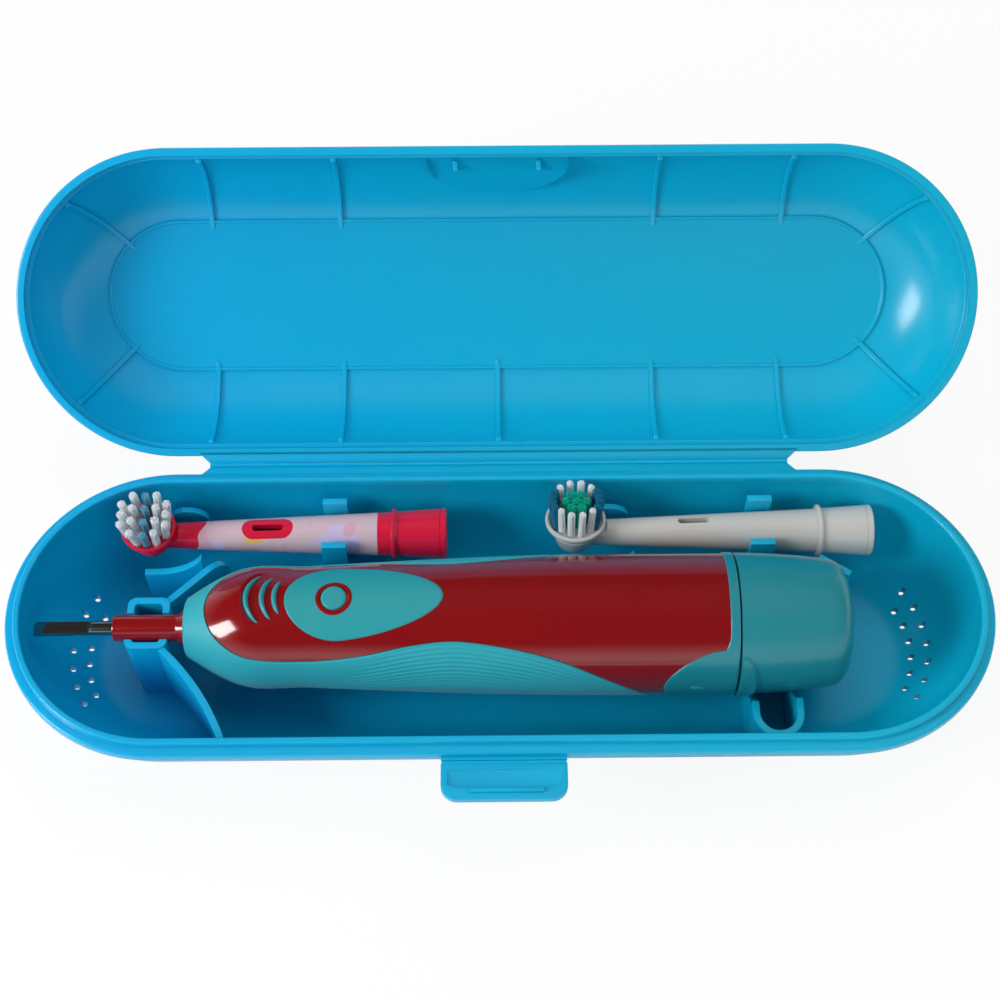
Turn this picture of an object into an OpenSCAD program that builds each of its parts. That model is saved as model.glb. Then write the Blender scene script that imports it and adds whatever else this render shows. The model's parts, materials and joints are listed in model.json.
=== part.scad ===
// Electric toothbrush travel case, open, with its battery toothbrush and two spare brush heads.
// Millimetres. X runs along the case, +Y points to the hinge and +Z up.
// The origin is the middle of the flat underside.

/* [Case] */
// Overall length of the case
case_len = 245; // [240:1:270]
// Overall width of the case
case_w = 78.5; // [77.5:0.5:88]
// Height of the base from the table to the parting plane
base_h = 31; // [30:0.5:38]
// Height of the lid above the parting plane
lid_h = 23.2; // [21:0.2:34]
// Wall thickness of both shells
wall = 1.8; // [1.5:0.1:2.2]
// How far the flat floors are drawn in from the outline
draw_in = 18.4; // [16:0.2:20]
// Height of the base's rim band
band_h = 3; // [2.5:0.1:4]
// Height of the lid's rim band
lid_band_h = 4; // [3.6:0.1:5]
// Height of the locating lip on the base
lip_h = 2; // [1.5:0.1:2.4]
// Thickness of the locating lip
lip_t = 1.7; // [1.2:0.1:1.8]
// Diameter of a vent hole
vent_d = 1.6; // [1.2:0.1:2.2]
// Number of vent holes in the outer row of each end
vent_count = 7; // [5:1:9]
// Width of a stiffening rib inside the lid
rib_t = 1.2; // [0.8:0.1:2]
// Height of a stiffening rib inside the lid
rib_h = 0.8; // [0.5:0.1:1.2]

/* [Hinge] */
// Length of the living hinge
hinge_len = 150; // [120:1:156]
// Distance from the rim's edge to the fold line
hinge_reach = 2.35; // [2.2:0.05:3.5]
// Thickness of the two hinge flanges
flange_t = 1.2; // [1:0.1:1.6]
// Angle to which the lid stands open
open_angle = 136; // [100:1:178]

/* [Latch] */
// Width of the latch flap
latch_w = 30; // [22:1:36]
// Length of the latch flap
latch_len = 9.6; // [9.2:0.1:12]
// Thickness of the latch flap
latch_t = 2; // [1.6:0.1:2.2]
// Radius of the thumb scoop in the lid's front wall
scoop_r = 19; // [17:0.5:22]

/* [Toothbrush handle] */
// Largest radius of the handle
grip_r = 17.5; // [17:0.1:18]
// Radius at the thumb waist
waist_r = 14.9; // [14.4:0.1:15.4]
// Radius at the shoulder in front of the waist
shoulder_r = 15.1; // [14.8:0.1:15.8]
// Radius of the nose, where the neck leaves it
nose_r = 7; // [6:0.1:8]
// Length of the handle from nose to tail
handle_len = 163.4; // [160:0.2:172]
// Length of the battery cover
cover_len = 28.1; // [24:0.1:32]
// Housing wall
shell_t = 2.3; // [2:0.05:2.4]
// Thickness of the soft grip
skin_t = 1.1; // [0.8:0.1:1.3]
// Radius of the neck
neck_r = 3.35; // [3.2:0.05:3.6]
// Length of the neck in front of the nose
neck_len = 18; // [16:0.5:19]
// Radius of the drive shaft
shaft_r = 1.8; // [1.5:0.05:1.9]
// Length of the bare drive shaft
shaft_len = 20; // [18:0.2:22]
// Radius of the power button
button_r = 3.1; // [2.6:0.1:3.3]
// Travel of the power button
button_travel = 0.6; // [0.3:0.1:0.7]

/* [Inside the handle] */
// Diameter of a battery
cell_d = 14.2; // [14:0.1:14.4]
// Length of a battery without its nub
cell_len = 49; // [48:0.1:49.4]
// Width of the motor across its round sides
motor_d = 20; // [19:0.1:20.4]
// Length of the motor
motor_len = 25; // [20:0.5:28]
// Gear module
gear_mod = 0.5; // [0.45:0.01:0.52]

/* [Brush heads] */
// Length from the middle of the cup to the open end
head_len = 76.3; // [74:0.1:78]
// Largest radius of the open end
head_end_r = 6.6; // [6.4:0.1:7]
// Barrel radius where the clip holds it
head_clip_r = 5.05; // [4.8:0.05:5.3]
// Radius of the thin end of the barrel
head_neck_r = 3.3; // [3.1:0.1:3.6]
// Rim radius of the plain head's bristle disc
plain_disc_r = 7.8; // [7.4:0.1:7.9]
// Rim radius of the small red head's bristle disc
small_disc_r = 7; // [6.8:0.1:7.3]
// Length of the bristles
bristle_len = 9.2; // [7:0.1:10]
// Strands in one tuft
tuft_strands = 12; // [8:1:12]

/* [Holders] */
// Thickness of the holder walls
holder_t = 1.7; // [1.4:0.1:1.8]
// Clearance between a holder and what lies in it
seat_gap = 0.3; // [0.2:0.05:0.4]
// Width of a head clip along the case
clip_w = 6.2; // [5:0.1:8]

/* [Hidden] */
$fn = 64;

sky = [0.05, 0.6, 0.83];
red = [0.75, 0.06, 0.14];
teal = [0.2, 0.68, 0.69];
bone = [0.93, 0.92, 0.9];
steel = [0.72, 0.73, 0.75];
seam = 0.2; // half gap kept at the parting plane by both hinge flanges
eps = 0.4; // overlap that fuses two shapes of one piece

// Case outline
case_r = case_w / 2;
end_x = case_len / 2 - case_r;
base_step = 2.1; // the base wall stands this far inside its band
base_bulge = 4;
lid_step = 1.3; // the lid wall stands this far inside its band
lid_bulge = 3.3;
arc_n = 7;

// Centre of the arc that joins p and q and bulges outwards by sag
function arc_c(p, q, sag) =
  let (d = q - p, l = norm(d), r = (l * l / 4 + sag * sag) / (2 * sag))
  (p + q) / 2 - [abs(d[1]), -sign(d[1]) * d[0]] / l * (r - sag);
// Points on the right-hand side of a circle from height z0 to height z1
function arc_pts(c, r, z0, z1, n = arc_n) =
  let (a0 = asin((z0 - c[1]) / r), a1 = asin((z1 - c[1]) / r))
  [for (i = [0:n]) let (a = a0 + (a1 - a0) * i / n) c + r * [cos(a), sin(a)]];
function arc_y(c, r, z) = c[0] + sqrt(r * r - pow(z - c[1], 2));
function half_closed(p) = concat(p, [for (i = [len(p) - 2:-1:1]) [-p[i][0], p[i][1]]]);

base_foot = [case_r - draw_in, 0];
base_c = arc_c(base_foot, [case_r - base_step, base_h - band_h], base_bulge);
base_ro = norm(base_foot - base_c);
base_ri = base_ro - wall;
lip_in = arc_y(base_c, base_ri, base_h);
lip_out = lip_in + lip_t;
lid_top = [case_r - draw_in, lid_h];
lid_c = arc_c(lid_top, [case_r - lid_step, lid_band_h], lid_bulge);
lid_ro = norm(lid_top - lid_c);
lid_ri = lid_ro - wall;
lip_gap = 0.25;
recess_h = lip_h + 0.4;
hinge_y = case_r + hinge_reach;
web_r = 0.45;
web_cut = 0.9; // distance from the fold line to the end of each flange

// Latch
latch_y = -case_r - 1.35;
latch_z = base_h - 2.2;
latch_x = 0.4;
latch_corner = 3.6;
hook_y = lid_band_h + base_h - latch_z + 0.35;
hook_w = 1.6;
hook_h = 0.9;

// Rows across the case, from the hinge side: brush heads, then the toothbrush
head_y = case_r - 14.15;
row_gap = 4.4;
handle_y = head_y - head_end_r - row_gap - grip_r;

// Toothbrush: positions along X from the shaft's tip
handle_z = base_h - 4;
tip_gap = 2.5;
tip_x = -(end_x + arc_y(base_c, base_ri, handle_z)) + tip_gap;
neck_x = tip_x + shaft_len;
nose_x = neck_x + neck_len;
tail_x = nose_x + handle_len;
seam_x = tail_x - cover_len;
cover_gap = 0.4;
shoulder_x = nose_x + 19.5;
waist_x = nose_x + 30;
full_x = nose_x + 112.5;
button_x = nose_x + 37.7;
bore_gap = 0.05;
swell_x = seam_x + cover_gap;
tail_r = grip_r - 1.7;
edge_x = tail_x - 3.6;

function smooth(t) = (1 - cos(180 * t)) / 2;
// Outline radius of the handle at x
function handle_r(x) =
  x < shoulder_x ? nose_r + (shoulder_r - nose_r) * sin(90 * max(0, x - nose_x) / (shoulder_x - nose_x)) :
  x < waist_x ? shoulder_r + (waist_r - shoulder_r) * smooth((x - shoulder_x) / (waist_x - shoulder_x)) :
  x < full_x ? waist_r + (grip_r - waist_r) * sin(90 * (x - waist_x) / (full_x - waist_x)) :
  x < swell_x ? grip_r : grip_r + (tail_r - grip_r) * pow((x - swell_x) / (edge_x - swell_x), 2);
function span(a, b, n) = [for (i = [0:n]) a + (b - a) * i / n];
shell_xs = concat(span(nose_x, shoulder_x, 5), [(shoulder_x + waist_x) / 2], span(waist_x, full_x, 6),
  [seam_x]);

// Brush heads
head_z = base_h - 7.7;
small_x = nose_x - 11.96;
plain_x = end_x + 12.55 - head_len;
small_roll = -4; // degrees, the way each head leans on its clip
plain_roll = 12;
collar_at = head_len - 14.3; // from the middle of the cup
clip_back = 14.4; // from the collar back to the clip
clip_at = collar_at - clip_back;
slot_at = 30.4;
slot_l = 8;
slot_w = 1.7;
socket_l = 20;
socket_r = neck_r + 0.1;
rod_r = 1.3;
cup_r = 5;
cup_h = 2; // from the barrel's axis up to the top of the cup
disc_h = 5.4; // and up to the rim of the disc
rim_w = 0.9;
rim_h = 1;
back_h = 0.5; // slice of backing that the strands are fused to
strand_r = 0.22;

// ---- shared shapes ----

// A stadium-shaped shell: the half outline p run along the sides and turned about both ends
module tray(p) {
  rotate([90, 0, 90])
    translate([0, 0, -end_x])
      linear_extrude(2 * end_x) polygon(half_closed(p));
  for (s = [0, 1])
    rotate([0, 0, 180 * s])
      translate([end_x, 0, 0])
        rotate([0, 0, -90]) rotate_extrude(angle = 180) polygon(p);
}

// Outline [x, r] turned about the handle's axis
module lathe(p) {
  translate([0, handle_y, handle_z])
    rotate([0, 90, 0])
      rotate_extrude() polygon([for (q = p) [q[1], q[0]]]);
}

// Solid cylinder on the handle's axis from x0 to x1
module rod(x0, x1, r) {
  translate([x0, handle_y, handle_z])
    rotate([0, 90, 0])
      cylinder(h = x1 - x0, r = r);
}

// Eight-sided prism on the handle's axis whose flats touch radius r, with a flat at the bottom
module prism(x0, x1, r) {
  translate([x0, handle_y, handle_z])
    rotate([0, 90, 0])
      rotate([0, 0, 22.5]) cylinder(h = x1 - x0, r = r / cos(22.5), $fn = 8);
}

// Layer of the handle's outline from depth d0 to depth d1 under its surface, between x0 and x1
module layer(x0, x1, d0, d1) {
  xs = concat([x0], [for (x = shell_xs) if (x > x0 + 0.01 && x < x1 - 0.01) x], [x1]);
  n = len(xs);
  outer = [for (x = xs) [x, handle_r(x) - d0]];
  inner = [for (i = [n - 1:-1:0]) [xs[i], handle_r(xs[i]) - d1]];
  lathe(concat(outer, inner));
}

// ---- case base ----

base_outline = concat([[0, 0]], arc_pts(base_c, base_ro, 0, base_h - band_h),
  [[case_r, base_h - band_h], [case_r, base_h], [lip_out, base_h], [lip_out - 0.15, base_h + lip_h],
    [lip_in, base_h + lip_h]], arc_pts(base_c, base_ri, base_h, wall), [[0, wall]]);
cavity_outline = concat([[0, wall]], arc_pts(base_c, base_ri, wall, base_h),
  [[lip_in, base_h + lip_h], [0, base_h + lip_h]]);

module cavity() {
  tray(cavity_outline);
}

module vents() {
  for (s = [0, 1])
    rotate([0, 0, 180 * s])
      translate([end_x, 0, -1])
        for (row = [0, 1])
          for (i = [0:vent_count - 1 - row])
            rotate([0, 0, 11.2 * (i - (vent_count - 1 - row) / 2)])
              translate([27.4 - 3.6 * row, 0, 0]) cylinder(h = base_h, d = vent_d, $fn = 24);
}

module base_tub() {
  color(sky)
    difference() {
      union() {
        tray(base_outline);
        translate([0, 0, base_h - seam - flange_t])
          linear_extrude(flange_t) hinge_plan();
        latch_stub();
      }
      vents();
    }
}

// Plan of a hinge flange: cut off at 45 degrees towards the rim at both ends
module hinge_plan() {
  near = case_r - 1;
  far = hinge_y - web_cut;
  half = hinge_len / 2;
  polygon([[-half - (far - near), near], [half + (far - near), near], [half, far], [-half, far]]);
}

// Short ledge under the rim that the latch folds on
module latch_stub() {
  translate([latch_x - latch_w / 2 + 1, latch_y + web_r, latch_z - 0.35])
    cube([latch_w - 2, -latch_y - web_r - case_r + eps, 0.7]);
}

// The thin fold along the back, which bends when the lid opens
module hinge_web() {
  color(sky)
    rotate([90, 0, 90])
      translate([0, 0, -hinge_len / 2])
        linear_extrude(hinge_len) {
          translate([hinge_y, base_h]) circle(r = web_r);
          translate([hinge_y - web_cut, base_h - seam - 0.6]) square([web_cut, 0.6]);
        }
}

module latch_web() {
  color(sky)
    translate([latch_x - latch_w / 2 + 1, latch_y, latch_z])
      rotate([0, 90, 0]) cylinder(h = latch_w - 2, r = web_r);
}

// ---- holders moulded on the floor ----

cradle_x0 = nose_x - 15;
cradle_l = 10.5;
cradle_y0 = handle_y - 6.1;
cradle_y1 = handle_y + 8;
cradle_top = base_h - 3;
cradle_corner = 2.2;

// Upright wall in plan from a to b, bowed sideways, of thickness t
module bowed_wall(a, b, bow, t) {
  d = b - a;
  side = [d[1], -d[0]] / norm(d);
  n = 8;
  line = [for (i = [0:n]) a + d * i / n + side * bow * (1 - pow(2 * i / n - 1, 2))];
  linear_extrude(cradle_top)
    polygon(concat(line, [for (i = [n:-1:0]) line[i] - side * t]));
}

// Block with round upright edges, its sides moved inwards by t
module cradle_block(t, r, z, h) {
  translate([cradle_x0 + t, cradle_y0 + t, z])
    linear_extrude(h)
      offset(r = r)
        translate([r, r]) square([cradle_l - 2 * (t + r), cradle_y1 - cradle_y0 - 2 * (t + r)]);
}

module neck_cradle() {
  color(sky)
    intersection() {
      difference() {
        union() {
          difference() {
            cradle_block(0, cradle_corner, 0, cradle_top);
            cradle_block(holder_t, cradle_corner - holder_t + 0.5, -1, cradle_top + 2);
          }
          front_wing();
          rear_wing();
        }
        rod(cradle_x0 - 1, cradle_x0 + cradle_l + 1, neck_r + seat_gap);
        translate([cradle_x0 - 1, handle_y - neck_r - seat_gap + 0.03, handle_z])
          cube([cradle_l + 2, 2 * (neck_r + seat_gap - 0.03), base_h]);
      }
      cavity();
    }
}

// Curved wall that runs from the cradle to the front wall of the tub
module front_wing() {
  bowed_wall([cradle_x0 + cradle_l + 16.6, -case_r + 4.2], [cradle_x0 + cradle_l - 0.6, cradle_y0 + 0.4],
    1.8, holder_t);
}

// Upright wall with one round corner, beside the handle's shoulder
module rear_wing() {
  long = 20;
  high = cradle_top - 0.6;
  round_r = 6;
  translate([cradle_x0 + cradle_l - holder_t, cradle_y1 - holder_t, 0])
    rotate([90, 0, 44])
      translate([0, 0, -holder_t / 2])
        linear_extrude(holder_t)
          union() {
            square([long - round_r, high]);
            square([long, high - round_r]);
            translate([long - round_r, high - round_r]) circle(r = round_r);
          }
}

fork_x0 = seam_x + 4.5;
fork_r = 4.6; // inner radius of the half-round front wall
fork_y = -case_r + 14.2;
fork_top = base_h - 10;
ear_rise = 0.6; // the cover's ear stands this far proud

module tail_cradle() {
  fork_mid = fork_x0 + holder_t + fork_r;
  fork_back = handle_y + 4;
  color(sky)
    intersection() {
      difference() {
        union() {
          translate([fork_mid, fork_y, 0])
            rotate([0, 0, 180])
              rotate_extrude(angle = 180) translate([fork_r, 0]) square([holder_t, fork_top]);
          for (x = [fork_x0, fork_x0 + holder_t + 2 * fork_r])
            translate([x, fork_y, 0]) cube([holder_t, fork_back - fork_y, fork_top]);
          rear_stop();
        }
        prism(fork_x0 - 1, fork_mid, grip_r + ear_rise + seat_gap);
        prism(fork_mid - 1, fork_x0 + 2 * (holder_t + fork_r) + 1, handle_r(fork_mid) + seat_gap + 0.2);
      }
      cavity();
    }
}

// Slanted wall behind the corner of the battery cover
module rear_stop() {
  stop_l = 9;
  stop_off = 3.6;
  stop_drop = 7; // below the parting plane
  translate([tail_x - 3, handle_y + grip_r + stop_off, 0])
    rotate([0, 0, -34])
      translate([0, -holder_t, 0]) cube([stop_l, holder_t, base_h - stop_drop]);
}

// Clip, saddle and end plates for the brush head whose cup is at cx
module head_rest(cx) {
  mid = cx + clip_at;
  reach = head_clip_r + seat_gap;
  front_y = head_y - head_end_r - row_gap + seat_gap;
  color(sky)
    intersection() {
      union() {
        translate([mid - clip_w / 2, head_y - reach - holder_t, 0])
          cube([clip_w, holder_t, head_z + 5.4]);
        translate([mid - clip_w / 2, head_y + reach, 0])
          cube([clip_w, holder_t, base_h - 1.5]);
        difference() {
          translate([mid - holder_t / 2, head_y - reach - eps, 0])
            cube([holder_t, 2 * (reach + eps), head_z - 2]);
          translate([mid - holder_t, head_y, head_z])
            rotate([0, 90, 0]) cylinder(h = 2 * holder_t, r = reach);
        }
        // front plate with its scooped top edge
        translate([cx, front_y + holder_t, 0])
          rotate([90, 0, 0])
            linear_extrude(holder_t)
              difference() {
                translate([-1, 0]) square([15.5, base_h - 1]);
                translate([2, base_h - 9 + 14]) circle(r = 14);
                translate([-2, base_h - 9]) square([4, 10]);
              }
        // rear plate with one round corner
        translate([cx + 7.6, head_y + 6.9, 0])
          rotate([90, 0, 0])
            linear_extrude(holder_t - 0.2)
              union() {
                square([1.5, base_h - 5]);
                square([6.7, base_h - 10.2]);
                translate([1.5, base_h - 10.2]) circle(r = 5.2);
              }
      }
      cavity();
    }
}

module small_head_rest() {
  head_rest(small_x);
}

module plain_head_rest() {
  head_rest(plain_x);
}

// ---- lid, modelled shut and turned open ----

lid_outline = concat([[0, lid_h]], arc_pts(lid_c, lid_ro, lid_h, lid_band_h),
  [[case_r, lid_band_h], [case_r, seam], [lip_out + lip_gap, seam], [lip_out + lip_gap, recess_h],
    [arc_y(lid_c, lid_ri, recess_h), recess_h]], arc_pts(lid_c, lid_ri, recess_h + 0.2, lid_h - wall),
  [[0, lid_h - wall]]);
lid_filled = concat([[0, lid_h]], arc_pts(lid_c, lid_ro, lid_h, lid_band_h), [[0, lid_band_h]]);
rib_outline = concat(arc_pts(lid_c, lid_ri + eps, recess_h + 0.6, lid_h - wall + 0.1),
  arc_pts(lid_c, lid_ri - rib_h, lid_h - wall + 0.1, recess_h + 0.6));
scoop_z = 17 - scoop_r;
scoop_in = 1.75;
// Pocket floor: a slanted plane from just inside the band up to the wall at the scoop's top
scoop_p = [case_r - lid_step - scoop_in, lid_band_h];
scoop_q = [arc_y(lid_c, lid_ro, 17), 17];
scoop_lean = atan2(scoop_p[0] - scoop_q[0], scoop_q[1] - scoop_p[1]);

rib_end = end_x - 8.25;
rib_pitch = 33.8;

module lid_ribs() {
  for (x = [-rib_end, rib_pitch - rib_end, 0, rib_end - rib_pitch, rib_end])
    for (s = [1, -1])
      if (x != 0 || s == 1)
        translate([x - rib_t / 2, 0, 0])
          rotate([90, 0, 90]) linear_extrude(rib_t) scale([s, 1]) polygon(rib_outline);
  for (s = [0, 1])
    for (a = [-45, 45])
      rotate([0, 0, 180 * s])
        translate([end_x, 0, 0])
          rotate([0, 0, a])
            translate([0, rib_t / 2, 0]) rotate([90, 0, 0]) linear_extrude(rib_t) polygon(rib_outline);
}

// Everything in front of the slanted pocket floor, moved inwards by t, inside a circle of radius r
module scoop(r, t) {
  intersection() {
    translate([0, -case_r / 2, scoop_z]) rotate([90, 0, 0]) cylinder(h = case_r, r = r);
    translate([0, -scoop_p[0] + t, scoop_p[1]])
      rotate([-scoop_lean, 0, 0]) translate([-case_r, -20, -2]) cube([2 * case_r, 20, 30]);
    translate([-case_r, -case_r - 1, lid_band_h - (t > 0 ? 1.2 : 0)]) cube([2 * case_r, case_r, lid_h]);
  }
}

module lid_shut() {
  difference() {
    union() {
      tray(lid_outline);
      intersection() {
        scoop(scoop_r + wall, wall);
        rotate([90, 0, 90]) translate([0, 0, -end_x])
          linear_extrude(2 * end_x)
            polygon(half_closed(concat([[0, lid_h]], arc_pts(lid_c, lid_ro, lid_h, lid_band_h),
              [[case_r - lid_step, recess_h + 0.2], [0, recess_h + 0.2]])));
      }
      lid_ribs();
      lid_bead_ring();
      translate([0, 0, seam]) linear_extrude(flange_t) hinge_plan();
      // two small stops behind the scoop
      for (x = [-10.5, 10.5])
        translate([x - 0.6, -lip_in, recess_h + 0.2]) cube([1.2, 2.2, 4.2]);
    }
    scoop(scoop_r, 0);
  }
}

// Thin bead round the flat of the lid
module lid_bead_ring() {
  r = arc_y(lid_c, lid_ri, lid_h - wall) - 1.1;
  difference() {
    stadium(r + 0.8, lid_h - wall - 0.35, 0.35 + eps);
    stadium(r, lid_h - wall - 1, 2);
  }
}

module stadium(r, z, h) {
  translate([-end_x, -r, z]) cube([2 * end_x, 2 * r, h]);
  for (s = [-1, 1])
    translate([s * end_x, 0, z]) cylinder(h = h, r = r, $fn = 96);
}

module case_lid() {
  color(sky)
    translate([0, hinge_y, base_h])
      rotate([-open_angle, 0, 0])
        translate([0, -hinge_y, 0]) lid_shut();
}

// ---- latch ----

module latch_flap() {
  near = 0.75;
  frame = 1.6;
  half = latch_t / 2;
  color(sky)
    translate([latch_x, latch_y, latch_z])
      difference() {
        union() {
          intersection() {
            rotate([90, 0, 90])
              translate([0, 0, -latch_w / 2])
                linear_extrude(latch_w)
                  polygon([[-near, -0.35], [-near, 0.35], [-near - 0.9, half], [-latch_len, half],
                    [-latch_len, 0.5 - half], [-latch_len + 0.5, -half], [-near - 0.9, -half]]);
            translate([0, 0, -latch_t])
              linear_extrude(2 * latch_t)
                union() {
                  translate([-latch_w / 2, -latch_len + latch_corner])
                    square([latch_w, latch_len - latch_corner]);
                  translate([-latch_w / 2 + latch_corner, -latch_len])
                    square([latch_w - 2 * latch_corner, latch_corner]);
                  for (s = [-1, 1])
                    translate([s * (latch_w / 2 - latch_corner), -latch_len + latch_corner])
                      circle(r = latch_corner);
                }
          }
          // ridge that snaps over the lid's band
          translate([-latch_w / 2 + 3, -hook_y - hook_w, latch_t / 2 - eps])
            cube([latch_w - 6, hook_w, hook_h + eps]);
        }
        // recess in the inner face
        translate([-latch_w / 2 + frame, -hook_y + 0.3, latch_t / 2 - 0.5])
          cube([latch_w - 2 * frame, hook_y - near - 1.6, 1]);
      }
}

// ---- toothbrush handle ----

// Side view of the soft grip: everything under the wave, with the whole nose in front
wave_f = [-0.02, 0.043, 0.117, 0.219, 0.319, 0.418, 0.509, 0.642, 0.727, 0.815, 0.856, 0.876];
wave_g = [1.2, 0.6, 0.46, 0.4, 0.5, 0.66, 0.72, 0.6, 0.37, -0.09, -0.5, -1.2];
function wave_p(i) = [nose_x + wave_f[i] * (seam_x - nose_x), wave_g[i] * grip_r];
function spline(p0, p1, p2, p3, t) =
  (2 * p1 + (p2 - p0) * t + (2 * p0 - 5 * p1 + 4 * p2 - p3) * t * t
    + (3 * p1 - p0 - 3 * p2 + p3) * t * t * t) / 2;
wave_n = 3;
wave_last = len(wave_f) - 1;
wave_line = [for (i = [0:wave_last - 1]) for (j = [0:wave_n - 1])
  spline(wave_p(max(i - 1, 0)), wave_p(i), wave_p(i + 1), wave_p(min(i + 2, wave_last)), j / wave_n)];

module grip_region() {
  translate([0, handle_y + 2 * grip_r, handle_z])
    rotate([90, 0, 0])
      linear_extrude(4 * grip_r)
        polygon(concat([[nose_x - 3, -2 * grip_r], [nose_x - 3, 2 * grip_r], [nose_x + 2.5, 2 * grip_r]],
          wave_line, [wave_p(wave_last), [nose_x + wave_f[wave_last] * (seam_x - nose_x), -2 * grip_r]]));
}

module handle_shell() {
  in_x = nose_x + 5;
  inner_xs = concat([in_x], [for (x = shell_xs) if (x > in_x + 0.5) x]);
  n = len(inner_xs);
  color(red)
    difference() {
      lathe(concat([[nose_x, neck_r]], [for (x = shell_xs) [x, handle_r(x)]],
        [for (i = [n - 1:-1:0]) [inner_xs[i], handle_r(inner_xs[i]) - shell_t]], [[in_x, neck_r]]));
      grip_layer();
      collar_layer();
      panel_solid(0.9, 2);
      button_well();
    }
}

module grip_layer() {
  intersection() {
    layer(nose_x, seam_x - 2, -1, skin_t);
    grip_region();
  }
}

module grip_sleeve() {
  color(teal)
    intersection() {
      layer(nose_x, seam_x - 2, 0, skin_t);
      grip_region();
    }
  color(teal) thumb_ridges();
}

// Three crescent ridges in front of the button
module thumb_ridges() {
  ridge_r = 8.4;
  ridge_t = 1.2;
  ridge_at = [16.2, 20.1, 23.1]; // from the nose to the middle of each crescent
  ridge_half = [52, 44, 33]; // degrees each way
  for (i = [0:2])
    intersection() {
      layer(nose_x + 12, button_x - 6, -0.35, 0);
      translate([nose_x + ridge_at[i] + ridge_r, handle_y + 1, handle_z + 4])
        rotate([0, 0, 180 - ridge_half[i]])
          rotate_extrude(angle = 2 * ridge_half[i])
            translate([ridge_r - ridge_t / 2, 0]) square([ridge_t, grip_r]);
    }
}

collar_l = 2.4;
leaf_l = 15.9;
leaf_h = 11.5;

// Collar at the back of the housing, with its leaf-shaped tongue on the front side
module collar_shape(d) {
  layer(seam_x - collar_l, seam_x, d, skin_t);
  intersection() {
    layer(seam_x - collar_l - leaf_l, seam_x - collar_l / 2, d, skin_t);
    translate([seam_x - collar_l + 0.5, handle_y, handle_z])
      rotate([90, 0, 0])
        linear_extrude(2 * grip_r) scale([leaf_l / leaf_h, 1]) circle(r = leaf_h, $fn = 48);
  }
}

module collar_layer() {
  collar_shape(-1);
}

module tail_collar() {
  color(teal) collar_shape(0);
}

egg_back = 25.5;
egg_front = 13;
egg_half = 9.8;

// Egg-shaped panel round the button, from depth d under the surface up to z
module egg_plan() {
  polygon(concat(
    [for (a = [-90:15:90]) [egg_back * pow(max(cos(a), 0), 1.25), egg_half * sin(a)]],
    [for (a = [105:15:255]) [egg_front * cos(a), egg_half * sin(a)]]));
}

module panel_solid(d, up) {
  intersection() {
    layer(button_x - 16, button_x + 28, -up, d);
    translate([button_x + 1, handle_y, handle_z + 4]) linear_extrude(2 * grip_r) egg_plan();
  }
}

ring_w = 1.4;

module button_well() {
  translate([button_x, handle_y, handle_z + 8]) cylinder(h = 20, r = button_r + ring_w + 0.02);
}

button_top = handle_z + handle_r(button_x) + 0.5;

module switch_panel() {
  color(teal)
    difference() {
      panel_solid(0.9, 0.15);
      button_well();
    }
}

module button_ring() {
  color(red)
    difference() {
      translate([button_x, handle_y, handle_z + handle_r(button_x) - shell_t])
        cylinder(h = shell_t + 0.3, r = button_r + ring_w);
      translate([button_x, handle_y, handle_z]) cylinder(h = 30, r = button_r + 0.15);
    }
}

module power_button() {
  bottom = handle_z + switch_top + button_travel + 0.1;
  color(teal)
    translate([button_x, handle_y, bottom]) {
      cylinder(h = button_top - bottom - 0.5, r = button_r);
      translate([0, 0, button_top - bottom - 0.5]) cylinder(h = 0.5, r1 = button_r, r2 = button_r - 0.5);
    }
}

module neck_sleeve() {
  flare = 2;
  color(red)
    difference() {
      union() {
        rod(neck_x, nose_x + 5, neck_r);
        lathe([[nose_x - flare, 0], [nose_x - flare, neck_r], [nose_x, neck_r + 1.3], [nose_x, 0]]);
      }
      rod(neck_x - 1, nose_x + 6, shaft_r + bore_gap);
      rod(neck_x - 1, neck_x + 1.2, shaft_r + 0.8);
    }
}

module shaft_seal() {
  color([0.1, 0.1, 0.1])
    difference() {
      rod(neck_x + 0.2, neck_x + 1.2, shaft_r + 0.8);
      rod(neck_x - 1, neck_x + 2, shaft_r + bore_gap);
    }
}

// ---- inside the handle ----

gear_teeth = 18;
pinion_teeth = 6;
gear_drop = gear_mod * (gear_teeth + pinion_teeth) / 2;
gear_x = nose_x + 21;
gear_w = 3;
bracket_x = gear_x + gear_w + 0.5;
bracket_t = 1.6;
motor_x = bracket_x + bracket_t;
motor_flat = 15.2;
switch_top = motor_flat / 2 + 3.4;
crank_e = 1.2;
crank_r = 0.8;
rocker_x = gear_x - 5;
rocker_w = 4;
tray_x = nose_x + 104;
cell_x = tray_x + 3;
cell_y = cell_d / 2 + 0.2;
tray_r = grip_r - shell_t - 0.3;
cell_end = cell_x + cell_len;
cover_t = 1.7; // wall of the battery cover

// Plain spur gear of n trapezoid teeth with its first tooth turned by a0
module spur(n, w, a0) {
  rp = gear_mod * n / 2;
  linear_extrude(w)
    union() {
      circle(r = rp - gear_mod * 1.15);
      for (i = [0:n - 1])
        rotate(a0 + 360 / n * i)
          polygon([[rp - gear_mod * 1.3, gear_mod * 0.72], [rp + gear_mod * 0.85, gear_mod * 0.34],
            [rp + gear_mod * 0.85, -gear_mod * 0.34], [rp - gear_mod * 1.3, -gear_mod * 0.72]]);
    }
}

module motor_bracket() {
  color([0.85, 0.85, 0.82]) {
    difference() {
      rod(bracket_x, bracket_x + bracket_t, handle_r(bracket_x) - shell_t - 0.3);
      rod(bracket_x - 1, bracket_x + bracket_t + 1, 3);
    }
    translate([gear_x - 0.4, handle_y, handle_z - gear_drop])
      rotate([0, 90, 0]) cylinder(h = bracket_x - gear_x + 0.4 + eps, r = 1);
  }
}

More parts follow.
